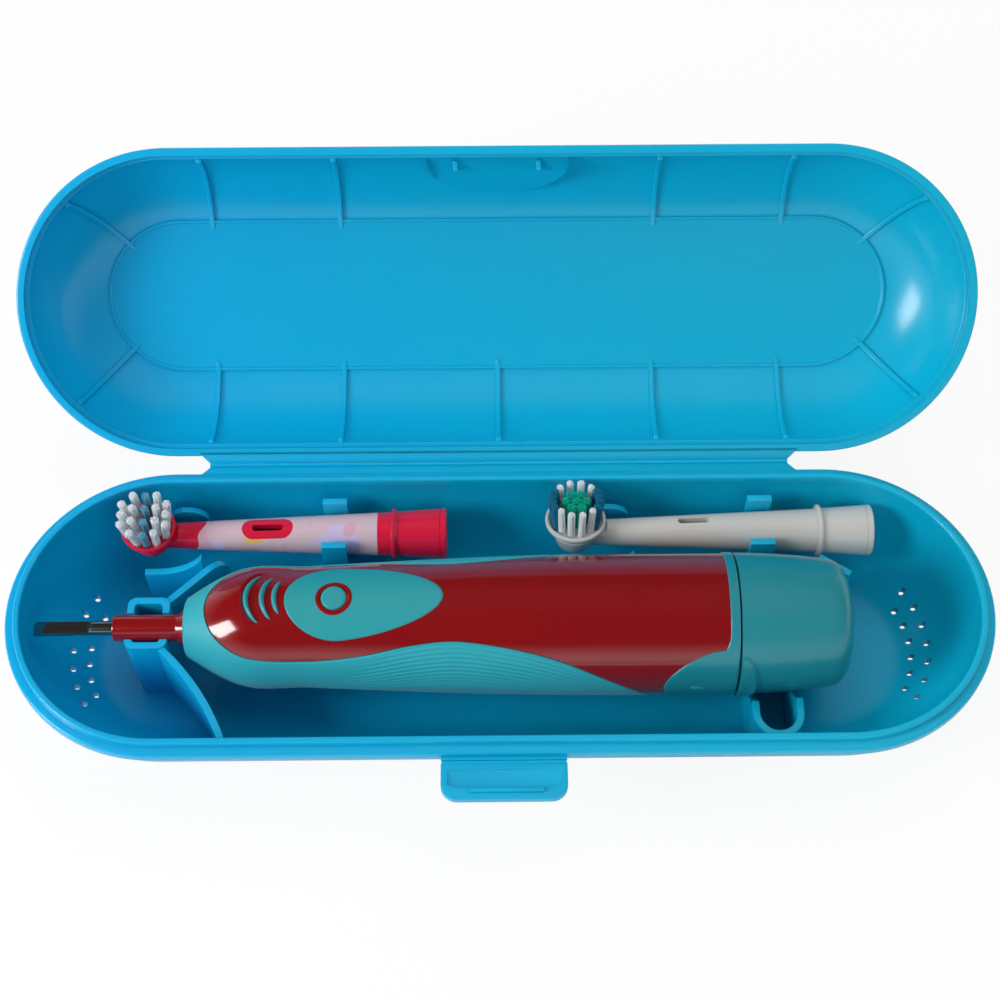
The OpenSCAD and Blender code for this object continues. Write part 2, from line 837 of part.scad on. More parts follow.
module motor_can() {
  color(steel) {
    intersection() {
      rod(motor_x, motor_x + motor_len, motor_d / 2);
      translate([motor_x, handle_y - motor_d, handle_z - motor_flat / 2])
        cube([motor_len, 2 * motor_d, motor_flat]);
    }
    rod(motor_x + motor_len, motor_x + motor_len + 1.5, 4);
  }
}

module motor_pinion() {
  color([0.9, 0.9, 0.88])
    translate([gear_x, handle_y, handle_z])
      rotate([0, 90, 0]) spur(pinion_teeth, gear_w, 180 / pinion_teeth);
  color(steel) rod(gear_x + gear_w, motor_x - 0.1, 0.75);
}

module drive_gear() {
  color([0.9, 0.9, 0.88])
    difference() {
      union() {
        translate([gear_x, handle_y, handle_z - gear_drop])
          rotate([0, 90, 0]) spur(gear_teeth, gear_w, 0);
        translate([gear_x - 1.2, handle_y, handle_z - gear_drop])
          rotate([0, 90, 0]) cylinder(h = 1.4, r = 2.6);
        translate([rocker_x + 0.5, handle_y, handle_z - gear_drop - crank_e])
          rotate([0, 90, 0]) cylinder(h = gear_x - rocker_x - 0.5, r = crank_r);
      }
      translate([gear_x - 0.6, handle_y, handle_z - gear_drop])
        rotate([0, 90, 0]) cylinder(h = gear_w + 2, r = 1 + bore_gap);
    }
}

module rocker_arm() {
  fork = 2 * crank_e + crank_r + 0.3;
  color([0.9, 0.9, 0.88])
    difference() {
      union() {
        rod(rocker_x - 0.4, rocker_x + rocker_w - 1, 3);
        translate([rocker_x - 0.4, handle_y - fork - 1, handle_z - gear_drop - 3])
          cube([rocker_w - 0.9, 2 * fork + 2, gear_drop + 3]);
      }
      rod(rocker_x - 2, rocker_x + rocker_w, shaft_r);
      translate([rocker_x - 2, handle_y - fork, handle_z - gear_drop - 4])
        cube([rocker_w + 2, 2 * fork, 6.4]);
    }
}

module drive_shaft() {
  flat_l = 14.7;
  flat_drop = 1.2; // below the top of the round shaft
  color(steel)
    difference() {
      rod(tip_x, rocker_x + rocker_w - 1, shaft_r);
      translate([tip_x - 1, handle_y - shaft_r, handle_z + shaft_r - flat_drop])
        cube([flat_l + 1, 2 * shaft_r, shaft_r]);
    }
}

module switch_block() {
  color([0.15, 0.15, 0.16]) {
    translate([button_x - 4.5, handle_y - 3.5, handle_z + motor_flat / 2])
      cube([9, 7, switch_top - motor_flat / 2 - 0.6]);
    translate([button_x, handle_y, handle_z + switch_top - 0.7]) cylinder(h = 0.7, r = 1.6);
  }
}

module cells(d) {
  past_end = 10; // clears the nub as well
  for (s = [-1, 1])
    translate([0, s * cell_y, 0]) rod(cell_x - 0.1, cell_end + past_end, d / 2);
}

module battery_tray() {
  spigot = 8;
  web_end_r = min(tray_r - 0.2, handle_r(cell_end) - cover_t - 0.3);
  color([0.2, 0.2, 0.22]) {
    difference() {
      rod(tray_x, tray_x + 2, tray_r);
      for (s = [-1, 1])
        translate([0, s * cell_y, 0]) rod(tray_x - 1, tray_x + 3, 2.6);
    }
    difference() {
      intersection() {
        union() {
          rod(tray_x + 2 - eps, seam_x + spigot, tray_r - 0.2);
          rod(tray_x + 2 - eps, cell_end, web_end_r);
        }
        translate([tray_x, handle_y - 4.5, handle_z - grip_r])
          cube([cell_len + 10, 9, 2 * grip_r]);
      }
      cells(cell_d + 0.3);
      translate([cell_x - 1, handle_y - 5, handle_z - 5]) cube([cell_len + 10, 10, 10]);
    }
    difference() {
      rod(seam_x - 4, seam_x + spigot, tray_r);
      rod(seam_x - 5, seam_x + spigot + 1, tray_r - 0.6);
      translate([seam_x - 5, handle_y - 2 * grip_r, handle_z - 3]) cube([spigot + 6, 4 * grip_r, 6]);
    }
  }
}

module front_contacts() {
  plate_r = 4;
  color([0.8, 0.7, 0.4])
    for (s = [-1, 1])
      translate([0, s * cell_y, 0]) {
        rod(tray_x + 2, tray_x + 2.4, plate_r);
        rod(tray_x - 0.5, tray_x + 2.1, 1.5);
      }
}

// Battery with its nub at the back or at the front
module cell(s, front) {
  color([0.15, 0.16, 0.18])
    translate([0, s * cell_y, 0]) {
      rod(cell_x, cell_end, cell_d / 2);
      if (front)
        rod(cell_x - 0.5, cell_x + 0.1, 2.7);
      else
        rod(cell_end - 0.1, cell_end + 1.2, 2.7);
    }
}

module battery_1() {
  cell(-1, false);
}

module battery_2() {
  cell(1, true);
}

// ---- battery cover ----

cover_x = seam_x + cover_gap;
cover_xs = concat(span(cover_x, edge_x, 4), [edge_x + 2.3]);

module battery_cover() {
  ear_l = 5;
  ear_curve = 10.6;
  round_x = 3.1; // the end's round edge, back from the edge and in from its radius
  round_in = 4.6;
  color(teal)
    difference() {
      union() {
        lathe(concat([[cover_x, grip_r - 3]], [for (x = span(cover_x, edge_x, 4)) [x, handle_r(x)]],
          [[edge_x + 1.8, tail_r - 0.9], [edge_x + round_x, tail_r - 2.4], [tail_x, tail_r - round_in],
            [tail_x, 0], [cover_x, 0]]));
        // ear that the thumb turns the cover by
        intersection() {
          lathe([[cover_x, grip_r - 3], [cover_x, grip_r + ear_rise], [cover_x + ear_l, grip_r + ear_rise],
            [cover_x + ear_l, grip_r - 3]]);
          translate([cover_x - 1.2, handle_y, handle_z])
            rotate([90, 0, 0])
              linear_extrude(2 * grip_r) scale([0.55, 1]) circle(r = ear_curve, $fn = 48);
        }
      }
      lathe(concat([[cover_x - 1, 0]], [[cover_x - 1, grip_r - cover_t]],
        [for (x = span(cover_x, edge_x, 4)) [x, handle_r(x) - cover_t]],
        [[edge_x + 1.6, tail_r - 3], [edge_x + 1.6, 0]]));
    }
}

module cover_contact() {
  slit = [5, 2, 6];
  color([0.8, 0.7, 0.4])
    difference() {
      rod(cell_end + 1.5, cell_end + 2, handle_r(cell_end + 2) - cover_t - 0.25);
      translate([cell_end, handle_y - slit[1] / 2, handle_z - slit[2] / 2]) cube(slit);
    }
}

// ---- brush heads, drawn along X with the cup's middle at the origin, then laid in their clips ----

module place_head(cx, roll) {
  translate([cx, head_y, head_z]) rotate([-roll, 0, 0]) children();
}

module along(x0, x1, r0, r1) {
  translate([x0, 0, 0]) rotate([0, 90, 0]) cylinder(h = x1 - x0, r1 = r0, r2 = r1);
}

function barrel_r(x) = x <= collar_at ?
  head_neck_r + (head_clip_r - head_neck_r) * (x - 6) / (clip_at - 6) :
  barrel_r(collar_at) + (head_end_r - barrel_r(collar_at)) * (x - collar_at) / (head_len - collar_at);

module head_body(disc_r) {
  difference() {
    union() {
      along(0, collar_at, barrel_r(0), barrel_r(collar_at));
      along(collar_at, head_len, barrel_r(collar_at), head_end_r);
      rotate_extrude()
        polygon([[0, -head_neck_r + 0.1], [cup_r - 1, -head_neck_r + 0.1], [cup_r, -head_neck_r + 1],
          [disc_r - 1.6, cup_h], [0, cup_h]]);
    }
    along(head_len - socket_l, head_len + 1, socket_r, socket_r);
    along(10, head_len, rod_r + 0.7, rod_r + 0.7);
    translate([0, 0, -1.2]) cylinder(h = 10, r = 1.5 + bore_gap);
    translate([0, 0, cup_h]) cylinder(h = 10, r = disc_r + 0.4);
    hull()
      for (s = [-1, 1])
        translate([slot_at + s * (slot_l - slot_w) / 2, 0, 0]) cylinder(h = 10, d = slot_w, $fn = 32);
  }
}

// Ring round the barrel where the fingers stop, its bore the given gap wider than the barrel
module head_collar(r, gap) {
  back_r = barrel_r(collar_at + 1.8) + gap;
  translate([collar_at, 0, 0])
    rotate([0, 90, 0])
      rotate_extrude() polygon([[barrel_r(collar_at) + gap, 0], [r, 0.3], [r, 1.2], [back_r, 1.8]]);
}

module head_rod() {
  color(steel) {
    along(10.5, head_len - socket_l - 8, rod_r, rod_r);
    difference() {
      along(head_len - socket_l - 8.4, head_len - socket_l + 1, rod_r + 0.6, rod_r + 0.6);
      along(head_len - socket_l - 7, head_len - socket_l + 2, 1.2, 1.2);
    }
  }
}

// Disc that carries the tufts and swings on its stub
module bristle_disc(disc_r) {
  floor_z = disc_h - rim_h;
  rotate_extrude()
    polygon([[0, -0.9], [1.5, -0.9], [1.5, cup_h + 0.3], [disc_r - 1.5, cup_h + 0.3],
      [disc_r, disc_h - 1.1], [disc_r, disc_h - 0.3], [disc_r - 0.3, disc_h], [disc_r - rim_w, disc_h],
      [disc_r - rim_w, floor_z], [0, floor_z]]);
}

// One tuft at [x, y], fanned out a little from the middle of the disc
module tuft(p, length, n, tuft_r, lean) {
  for (i = [0:n - 1])
    let (a = 137.5 * i, d = tuft_r * sqrt((i + 0.5) / n), q = p + d * [cos(a), sin(a)],
      drop = 0.25 * ((i * 7) % 5) / 5)
    translate([q[0], q[1], disc_h - rim_h + 0.1])
      rotate([-lean * q[1], lean * q[0], 0])
        linear_extrude(length - drop) circle(r = strand_r, $fn = 4);
}

function ring_points(n, r, a0, a1) =
  [for (i = [0:n - 1]) let (a = a0 + (a1 - a0) * i / max(n - 1, 1)) r * [cos(a), sin(a)]];

// Slice of backing: a sector of the disc's floor between two radii
module back_sector(r0, r1, a0, a1) {
  translate([0, 0, disc_h - rim_h])
    rotate([0, 0, a0])
      rotate_extrude(angle = a1 - a0) translate([r0, 0]) square([r1 - r0, back_h]);
}

module back_strip(x0, x1, r) {
  translate([0, 0, disc_h - rim_h])
    linear_extrude(back_h)
      intersection() {
        circle(r = r);
        translate([x0, -r]) square([x1 - x0, 2 * r]);
      }
}

small_floor_r = small_disc_r - rim_w;
plain_floor_r = plain_disc_r - rim_w;
strip_half = 1.25;

module small_head_shell() {
  color(red)
    place_head(small_x, small_roll) {
      difference() {
        head_body(small_disc_r);
        small_wrap_shape();
      }
      head_collar(head_end_r, -0.3);
    }
}

// Printed sleeve round the barrel, with a red frame left round the slot
module small_wrap_shape() {
  difference() {
    along(13.5, clip_at + 11, barrel_r(13.5) + 0.01, barrel_r(clip_at + 11) + 0.01);
    along(13, clip_at + 12, barrel_r(13) - 0.5, barrel_r(clip_at + 12) - 0.5);
    hull()
      for (s = [-1, 1])
        translate([slot_at + s * 4, 0, 0]) cylinder(h = 10, d = 5.6, $fn = 32);
  }
}

module small_head_wrap() {
  color([0.86, 0.78, 0.84]) place_head(small_x, small_roll) small_wrap_shape();
}

module small_head_rod() {
  place_head(small_x, small_roll) head_rod();
}

module small_disc() {
  color(red) place_head(small_x, small_roll) bristle_disc(small_disc_r);
}

small_spots = [for (s = [-1, 1]) for (p = [[2.45, -4.3], [2.45, -1.45], [2.45, 1.45], [2.45, 4.3],
  [4.6, -2.3], [4.6, 0], [4.6, 2.3]]) [s * p[0], p[1]]];

module small_white_tufts() {
  color(bone)
    place_head(small_x, small_roll) {
      for (s = [-1, 1])
        rotate([0, 0, s > 0 ? 0 : 180]) back_strip(strip_half, small_floor_r, small_floor_r - 0.1);
      for (p = small_spots)
        tuft(p, bristle_len, tuft_strands, 0.8, 1.6);
    }
}

module small_blue_tufts() {
  color([0.1, 0.5, 0.7])
    place_head(small_x, small_roll) {
      back_strip(-strip_half + 0.05, strip_half - 0.05, small_floor_r - 0.1);
      for (y = [-4.6, -1.55, 1.55, 4.6])
        tuft([0, y], bristle_len - 0.8, tuft_strands, 0.8, 1.6);
    }
}

module plain_head_shell() {
  color(bone)
    place_head(plain_x, plain_roll) {
      head_body(plain_disc_r);
    }
}

module plain_head_collar() {
  color(bone) place_head(plain_x, plain_roll) head_collar(head_end_r + 0.2, 0.03);
}

module plain_head_rod() {
  place_head(plain_x, plain_roll) head_rod();
}

module plain_disc() {
  color(bone) place_head(plain_x, plain_roll) bristle_disc(plain_disc_r);
}

white_half = 44; // degrees each side of front and back
ring_r0 = 3.7;

module plain_white_tufts() {
  color(bone)
    place_head(plain_x, plain_roll)
      for (a = [-90, 90]) {
        back_sector(ring_r0, plain_floor_r - 0.1, a - 55, a + 55);
        for (p = ring_points(4, 5.1, a - white_half, a + white_half))
          tuft(p, bristle_len, tuft_strands, 0.85, 0.8);
      }
}

module plain_blue_tufts() {
  color([0.1, 0.45, 0.65])
    place_head(plain_x, plain_roll)
      for (a = [0, 180]) {
        back_sector(ring_r0, plain_floor_r - 0.1, a - 34.5, a + 34.5);
        for (p = ring_points(3, 5.4, a - 24, a + 24))
          tuft(p, bristle_len - 0.3, tuft_strands - 2, 0.8, 1);
      }
}

module plain_green_tufts() {
  color([0.05, 0.62, 0.5])
    place_head(plain_x, plain_roll) {
      translate([0, 0, disc_h - rim_h]) cylinder(h = back_h, r = ring_r0 - 0.05);
      for (p = concat([[0, 0]], ring_points(6, 2.3, 0, 300)))
        tuft(p, bristle_len - 1, tuft_strands - 2, 0.85, 0.8);
    }
}

base_tub();
hinge_web();
latch_web();
neck_cradle();
tail_cradle();
small_head_rest();
plain_head_rest();
case_lid();
latch_flap();
handle_shell();
grip_sleeve();
tail_collar();
switch_panel();
button_ring();
neck_sleeve();
shaft_seal();
motor_bracket();
motor_can();
switch_block();
battery_tray();
front_contacts();
battery_1();
battery_2();
power_button();
motor_pinion();
drive_gear();
drive_shaft();
rocker_arm();
battery_cover();
cover_contact();
small_head_shell();
small_head_wrap();
small_head_rod();
small_disc();
small_white_tufts();
small_blue_tufts();
plain_head_shell();
plain_head_collar();
plain_head_rod();
plain_disc();
plain_white_tufts();
plain_blue_tufts();
plain_green_tufts();
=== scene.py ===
import json
import math
import random

import bmesh
import bpy
from mathutils import Matrix, Vector


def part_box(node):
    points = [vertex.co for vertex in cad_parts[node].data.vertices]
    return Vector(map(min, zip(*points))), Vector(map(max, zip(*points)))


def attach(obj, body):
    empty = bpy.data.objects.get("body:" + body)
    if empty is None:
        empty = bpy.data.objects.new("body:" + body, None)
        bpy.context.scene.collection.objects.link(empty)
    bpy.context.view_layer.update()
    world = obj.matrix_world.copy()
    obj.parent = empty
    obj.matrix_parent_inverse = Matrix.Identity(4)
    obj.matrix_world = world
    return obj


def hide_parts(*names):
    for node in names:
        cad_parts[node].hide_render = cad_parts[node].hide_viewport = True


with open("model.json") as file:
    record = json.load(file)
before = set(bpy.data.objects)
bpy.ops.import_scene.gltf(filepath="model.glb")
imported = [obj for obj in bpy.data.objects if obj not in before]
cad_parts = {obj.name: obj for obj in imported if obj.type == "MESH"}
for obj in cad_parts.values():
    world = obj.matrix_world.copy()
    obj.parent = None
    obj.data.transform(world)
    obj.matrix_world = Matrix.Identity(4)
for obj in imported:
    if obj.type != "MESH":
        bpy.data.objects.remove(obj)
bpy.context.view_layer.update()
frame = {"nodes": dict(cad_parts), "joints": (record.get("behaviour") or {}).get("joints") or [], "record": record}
mm = 0.001
shared = bpy.context.scene.collection


# small tools

def nodeBox(name):
    low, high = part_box(name)
    return low / mm, high / mm


def linear(hexColour):  # a colour as it is seen, turned into shader values
    parts = [int(hexColour[i:i + 2], 16) / 255 for i in (0, 2, 4)]
    return tuple(c / 12.92 if c <= 0.04045 else ((c + 0.055) / 1.055) ** 2.4 for c in parts) + (1,)


def smoothStep(low, high, value):
    t = min(1, max(0, (value - low) / (high - low)))
    return t * t * (3 - 2 * t)


def spread(start, end, count):  # count steps from start to end
    return [start + (end - start) * i / count for i in range(count + 1)]


def arcCentre(p, q, bulge):  # centre of the arc from p to q that stands bulge outwards
    dx, dz = q[0] - p[0], q[1] - p[1]
    chord = math.hypot(dx, dz)
    radius = (chord * chord / 4 + bulge * bulge) / (2 * bulge)
    side = 1 if dz > 0 else -1
    return ((p[0] + q[0]) / 2 - abs(dz) / chord * (radius - bulge),
            (p[1] + q[1]) / 2 + side * dx / chord * (radius - bulge), radius)


def arcX(arc, radius, z):  # where the arc's right side is at height z
    return arc[0] + math.sqrt(radius ** 2 - (z - arc[1]) ** 2)


def arcPoints(arc, radius, z0, z1, count):
    a0, a1 = math.asin((z0 - arc[1]) / radius), math.asin((z1 - arc[1]) / radius)
    return [(arc[0] + radius * math.cos(a), arc[1] + radius * math.sin(a)) for a in spread(a0, a1, count)]


def roundOff(points, rounding, steps=4):  # rounding: {index of a corner: its radius}
    result = []
    for i, point in enumerate(points):
        radius = rounding.get(i, 0)
        if not radius:
            result.append(point)
            continue
        corner = Vector(point)
        back = (Vector(points[i - 1]) - corner).normalized()
        ahead = (Vector(points[(i + 1) % len(points)]) - corner).normalized()
        half = math.acos(max(-1, min(1, back.dot(ahead)))) / 2
        reach = radius / math.tan(half)
        centre = corner + (back + ahead).normalized() * radius / math.sin(half)
        first, last = corner + back * reach - centre, corner + ahead * reach - centre
        for t in spread(0, 1, steps):
            result.append(tuple(centre + first.slerp(last, t) * radius))
    return result


def spinRound(points, axis, steps, closed=False):  # outline [along, radius] spun fully about an axis
    bm = bmesh.new()
    place = (lambda a, r: (a, 0, r)) if axis == "X" else (lambda a, r: (r, 0, a))
    verts = [bm.verts.new(place(a, r)) for a, r in points]
    pairs = list(zip(verts, verts[1:])) + ([(verts[-1], verts[0])] if closed else [])
    edges = [bm.edges.new(pair) for pair in pairs]
    turn = (1, 0, 0) if axis == "X" else (0, 0, 1)
    bmesh.ops.spin(bm, geom=verts + edges, cent=(0, 0, 0), axis=turn, angle=math.tau, steps=steps,
                   use_merge=True, use_duplicate=False)
    bmesh.ops.remove_doubles(bm, verts=bm.verts, dist=0.0005)
    bmesh.ops.recalc_face_normals(bm, faces=bm.faces)
    return bm


def onlyVerts(geom):
    return [g for g in geom if isinstance(g, bmesh.types.BMVert)]


def spinTray(outline, endX, steps=64):  # stadium solid: outline [radius, height] round both ends
    bm = bmesh.new()
    verts = [bm.verts.new((0, -r, z)) for r, z in outline]
    edges = [bm.edges.new(pair) for pair in zip(verts, verts[1:])]
    bmesh.ops.spin(bm, geom=verts + edges, cent=(0, 0, 0), axis=(0, 0, 1), angle=math.pi, steps=steps,
                   use_merge=False, use_duplicate=False)
    bmesh.ops.remove_doubles(bm, verts=bm.verts, dist=0.0005)
    bmesh.ops.translate(bm, verts=bm.verts, vec=(endX, 0, 0))
    rim = [e for e in bm.edges if e.is_boundary]
    grown = bmesh.ops.extrude_edge_only(bm, edges=rim)["geom"]
    bmesh.ops.translate(bm, verts=onlyVerts(grown), vec=(-endX, 0, 0))
    bmesh.ops.mirror(bm, geom=bm.verts[:] + bm.edges[:] + bm.faces[:], matrix=Matrix(),
                     merge_dist=0.0005, axis="X")
    bmesh.ops.recalc_face_normals(bm, faces=bm.faces)
    return bm


def prism(points, height):  # plan outline drawn up along Z
    bm = bmesh.new()
    face = bm.faces.new([bm.verts.new((x, y, 0)) for x, y in points])
    grown = bmesh.ops.extrude_face_region(bm, geom=[face])["geom"]
    bmesh.ops.translate(bm, verts=onlyVerts(grown), vec=(0, 0, height))
    bmesh.ops.recalc_face_normals(bm, faces=bm.faces)
    return bm


def sheetBy(place, columns, rows):  # grid whose points are laid by place(column, row)
    bm = bmesh.new()
    bmesh.ops.create_grid(bm, x_segments=columns, y_segments=rows, size=0.5)
    for v in bm.verts:
        v.co = place(round((v.co.x + 0.5) * columns), round((v.co.y + 0.5) * rows))
    return bm


def thicken(bm, depth):  # closes a sheet into a skin that reaches depth inwards
    bmesh.ops.remove_doubles(bm, verts=bm.verts, dist=0.003)
    bmesh.ops.recalc_face_normals(bm, faces=bm.faces)
    bmesh.ops.solidify(bm, geom=bm.faces[:], thickness=depth)
    bmesh.ops.recalc_face_normals(bm, faces=bm.faces)
    return bm


def softenEdges(bm, width, angle=30, segments=2):
    sharp = [e for e in bm.edges if len(e.link_faces) == 2 and e.calc_face_angle() > math.radians(angle)]
    bmesh.ops.bevel(bm, geom=sharp, offset=width, offset_type="OFFSET", segments=segments, profile=0.5,
                    affect="EDGES", clamp_overlap=True, material=-1)
    return bm


def moved(bm, *matrices):
    for matrix in matrices:
        bmesh.ops.transform(bm, matrix=matrix, verts=bm.verts)
    return bm


def joined(*parts):
    whole = bmesh.new()
    for part in parts:
        mesh = bpy.data.meshes.new("part")
        part.to_mesh(mesh)
        part.free()
        whole.from_mesh(mesh)
        bpy.data.meshes.remove(mesh)
    return whole


def combined(first, second, operation, crossing=False):  # boolean of two closed bmeshes
    pair = []
    for bm in (first, second):
        mesh = bpy.data.meshes.new("cut")
        bm.to_mesh(mesh)
        bm.free()
        pair.append(bpy.data.objects.new("cut", mesh))
        shared.objects.link(pair[-1])
    modifier = pair[0].modifiers.new("cut", "BOOLEAN")
    modifier.operation = operation
    modifier.solver = "EXACT"
    modifier.use_self = crossing  # slower, for a cutter that crosses itself
    modifier.object = pair[1]
    result = bmesh.new()
    result.from_object(pair[0], bpy.context.evaluated_depsgraph_get())
    for obj in pair:
        mesh = obj.data
        bpy.data.objects.remove(obj)
        bpy.data.meshes.remove(mesh)
    return result


def copyOfNode(name):  # a merged copy of a CAD node, in millimetres
    bm = bmesh.new()
    bm.from_mesh(frame["nodes"][name].data)
    bmesh.ops.scale(bm, verts=bm.verts, vec=(1 / mm, 1 / mm, 1 / mm))
    bmesh.ops.remove_doubles(bm, verts=bm.verts, dist=0.002)
    bmesh.ops.dissolve_limit(bm, angle_limit=math.radians(1.5), verts=bm.verts, edges=bm.edges)
    return bm


def makePiece(name, bm, material, body, slot, replaced=(), sharp=38):
    bmesh.ops.scale(bm, verts=bm.verts, vec=(mm, mm, mm))
    mesh = bpy.data.meshes.new(name)
    bm.to_mesh(mesh)
    bm.free()
    mesh.polygons.foreach_set("use_smooth", [True] * len(mesh.polygons))
    mesh.set_sharp_from_angle(angle=math.radians(sharp))
    mesh.materials.append(material)
    piece = bpy.data.objects.new(name, mesh)
    shared.objects.link(piece)
    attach(piece, body)
    if replaced:
        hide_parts(*replaced)
    return piece


# finishes

def newMaterial(name):
    material = bpy.data.materials.new(name)
    material.use_nodes = True
    return material, material.node_tree, material.node_tree.nodes["Principled BSDF"]


def addNode(tree, kind, values=()):  # values: {input: its value}
    node = tree.nodes.new("ShaderNode" + kind)
    for key, value in dict(values).items():
        node.inputs[key].default_value = value
    return node


def addColourMix(tree, values):
    node = tree.nodes.new("ShaderNodeMix")
    node.data_type = "RGBA"
    for key, colour in values.items():
        node.inputs[key].default_value = linear(colour)
    return node


def plasticFinish(name, look):  # moulded plastic or rubber: drifting colour, painted light from end to end where across is given, fine grain, a little wear
    material, tree, shader = newMaterial(name)
    links = tree.links
    where = addNode(tree, "TexCoord")
    drift = addNode(tree, "TexNoise", {"Scale": look.get("driftScale", 18), "Detail": 3})
    blend = addColourMix(tree, {6: look["colour"], 7: look["drift"]})
    links.new(where.outputs["Object"], drift.inputs["Vector"])
    share = drift.outputs["Fac"]
    if "across" in look:  # painted light: the colour shifts from the left end to the right, bluer on the left and lighter, more cyan on the right, as the light falls there
        split = addNode(tree, "SeparateXYZ")
        paintedSideLight = addNode(tree, "MapRange", {"From Min": -look["across"], "From Max": look["across"]})
        sideLightWithDrift = addNode(tree, "Mix", {0: 0.3})
        links.new(where.outputs["Object"], split.inputs["Vector"])
        links.new(split.outputs["X"], paintedSideLight.inputs["Value"])
        links.new(paintedSideLight.outputs["Result"], sideLightWithDrift.inputs[2])
        links.new(share, sideLightWithDrift.inputs[3])
        share = sideLightWithDrift.outputs[0]
    links.new(share, blend.inputs[0])
    links.new(blend.outputs[2], shader.inputs["Base Color"])
    smear = addNode(tree, "TexNoise", {"Scale": 90})
    smooth, dull = look["roughness"] * 0.82, look["roughness"] * 1.2
    rough = addNode(tree, "MapRange", {"To Min": smooth, "To Max": dull})
    links.new(where.outputs["Object"], smear.inputs["Vector"])
    links.new(smear.outputs["Fac"], rough.inputs["Value"])
    links.new(rough.outputs["Result"], shader.inputs["Roughness"])
    grain = addNode(tree, "TexNoise", {"Scale": look.get("grainScale", 900), "Detail": 2})
    bump = addNode(tree, "Bump", {"Strength": look["grain"], "Distance": look.get("grainDepth", 0.0002)})
    links.new(where.outputs["Object"], grain.inputs["Vector"])
    links.new(grain.outputs["Fac"], bump.inputs["Height"])
    links.new(bump.outputs["Normal"], shader.inputs["Normal"])
    shader.inputs["Specular IOR Level"].default_value = look.get("specular", 0.5)
    shader.inputs["Coat Weight"].default_value = look.get("coat", 0)
    shader.inputs["Coat Roughness"].default_value = look.get("coatRoughness", 0.05)
    shader.inputs["Subsurface Weight"].default_value = look.get("glow", 0)
    shader.inputs["Subsurface Radius"].default_value = look.get("glowColour", (0.3, 0.7, 1.0))
    shader.inputs["Subsurface Scale"].default_value = look.get("glowDepth", 0.002)
    shader.inputs["Sheen Weight"].default_value = look.get("sheen", 0)
    shader.inputs["Sheen Roughness"].default_value = 0.5
    shader.inputs["Transmission Weight"].default_value = look.get("clear", 0)
    return material


def metalFinish(name, look):  # drawn metal with fine lines along the handle
    material, tree, shader = newMaterial(name)
    links = tree.links
    where = addNode(tree, "TexCoord")
    stretch = addNode(tree, "Mapping", {"Scale": look["stretch"]})
    lines = addNode(tree, "TexNoise", {"Scale": 1500})
    rough = addNode(tree, "MapRange", {"To Min": look["roughness"] * 0.7, "To Max": look["roughness"] * 1.4})
    bump = addNode(tree, "Bump", {"Strength": 0.08, "Distance": 0.0001})
    tint = addColourMix(tree, {6: look["colour"], 7: look["drift"]})
    links.new(where.outputs["Object"], stretch.inputs["Vector"])
    links.new(stretch.outputs["Vector"], lines.inputs["Vector"])
    links.new(lines.outputs["Fac"], rough.inputs["Value"])
    links.new(lines.outputs["Fac"], bump.inputs["Height"])
    links.new(lines.outputs["Fac"], tint.inputs[0])
    links.new(tint.outputs[2], shader.inputs["Base Color"])
    links.new(rough.outputs["Result"], shader.inputs["Roughness"])
    links.new(bump.outputs["Normal"], shader.inputs["Normal"])
    shader.inputs["Metallic"].default_value = 1
    return material


looks = {
    # caseBlue: across paints light, from the bluer colour at the left end to the lighter, more cyan drift colour
    # at the right end
    "caseBlue": dict(colour="04a0d8", drift="0ab2cf", across=0.13, roughness=0.24, coat=0.1,
                     coatRoughness=0.1, specular=0.4, grain=0.05, grainScale=260, glow=0.2,
                     glowColour=(0.15, 0.7, 1.0), glowDepth=0.0012),
    "handleRed": dict(colour="870a0f", drift="7c090e", roughness=0.14, coat=0.5, coatRoughness=0.03,
                      grain=0.03, grainScale=300, glow=0.05, glowColour=(1.0, 0.1, 0.1)),
    "gripTeal": dict(colour="27a6b2", drift="1f9bab", roughness=0.5, specular=0.4, grain=0.16,
                     grainScale=2600, grainDepth=0.0001, sheen=0.08, glow=0.06),
    "panelTeal": dict(colour="249aa2", drift="20929b", roughness=0.38, grain=0.12, grainScale=2600,
                      grainDepth=0.0001, glow=0.06),
    "coverTeal": dict(colour="1f8995", drift="1a818e", roughness=0.3, coat=0.2, coatRoughness=0.12,
                      grain=0.06, grainScale=700, glow=0.08),
    "headRed": dict(colour="d6143c", drift="cb1238", roughness=0.2, coat=0.4, coatRoughness=0.04,
                    grain=0.03, grainScale=500, glow=0.15, glowColour=(1.0, 0.2, 0.25), glowDepth=0.0015),
    "headWhite": dict(colour="c8c7c3", drift="c0bfba", roughness=0.24, coat=0.3, coatRoughness=0.05,
                      grain=0.03, grainScale=500, glow=0.2, glowColour=(1.0, 0.9, 0.8), glowDepth=0.0015),
    "innerWhite": dict(colour="e2e1da", drift="d8d6cc", roughness=0.35, grain=0.08),
    "innerDark": dict(colour="2a2b2f", drift="222327", roughness=0.45, grain=0.1),
    "sealRubber": dict(colour="1c1c1d", drift="151516", roughness=0.6, grain=0.2, grainScale=1800),
    "cellWrap": dict(colour="2b2d33", drift="3a3d45", roughness=0.25, coat=0.4, grain=0.03, driftScale=60),
}
metals = {
    "shaftSteel": dict(colour="b9b4ad", drift="8f8880", roughness=0.16, stretch=(0.04, 1, 1)),
    "motorSteel": dict(colour="b4b7bb", drift="9a9da2", roughness=0.3, stretch=(1, 0.05, 0.05)),
    "contactBrass": dict(colour="cdb26a", drift="b39750", roughness=0.25, stretch=(1, 1, 1)),
}
finish = {name: plasticFinish(name, look) for name, look in looks.items()}
finish.update({name: metalFinish(name, look) for name, look in metals.items()})


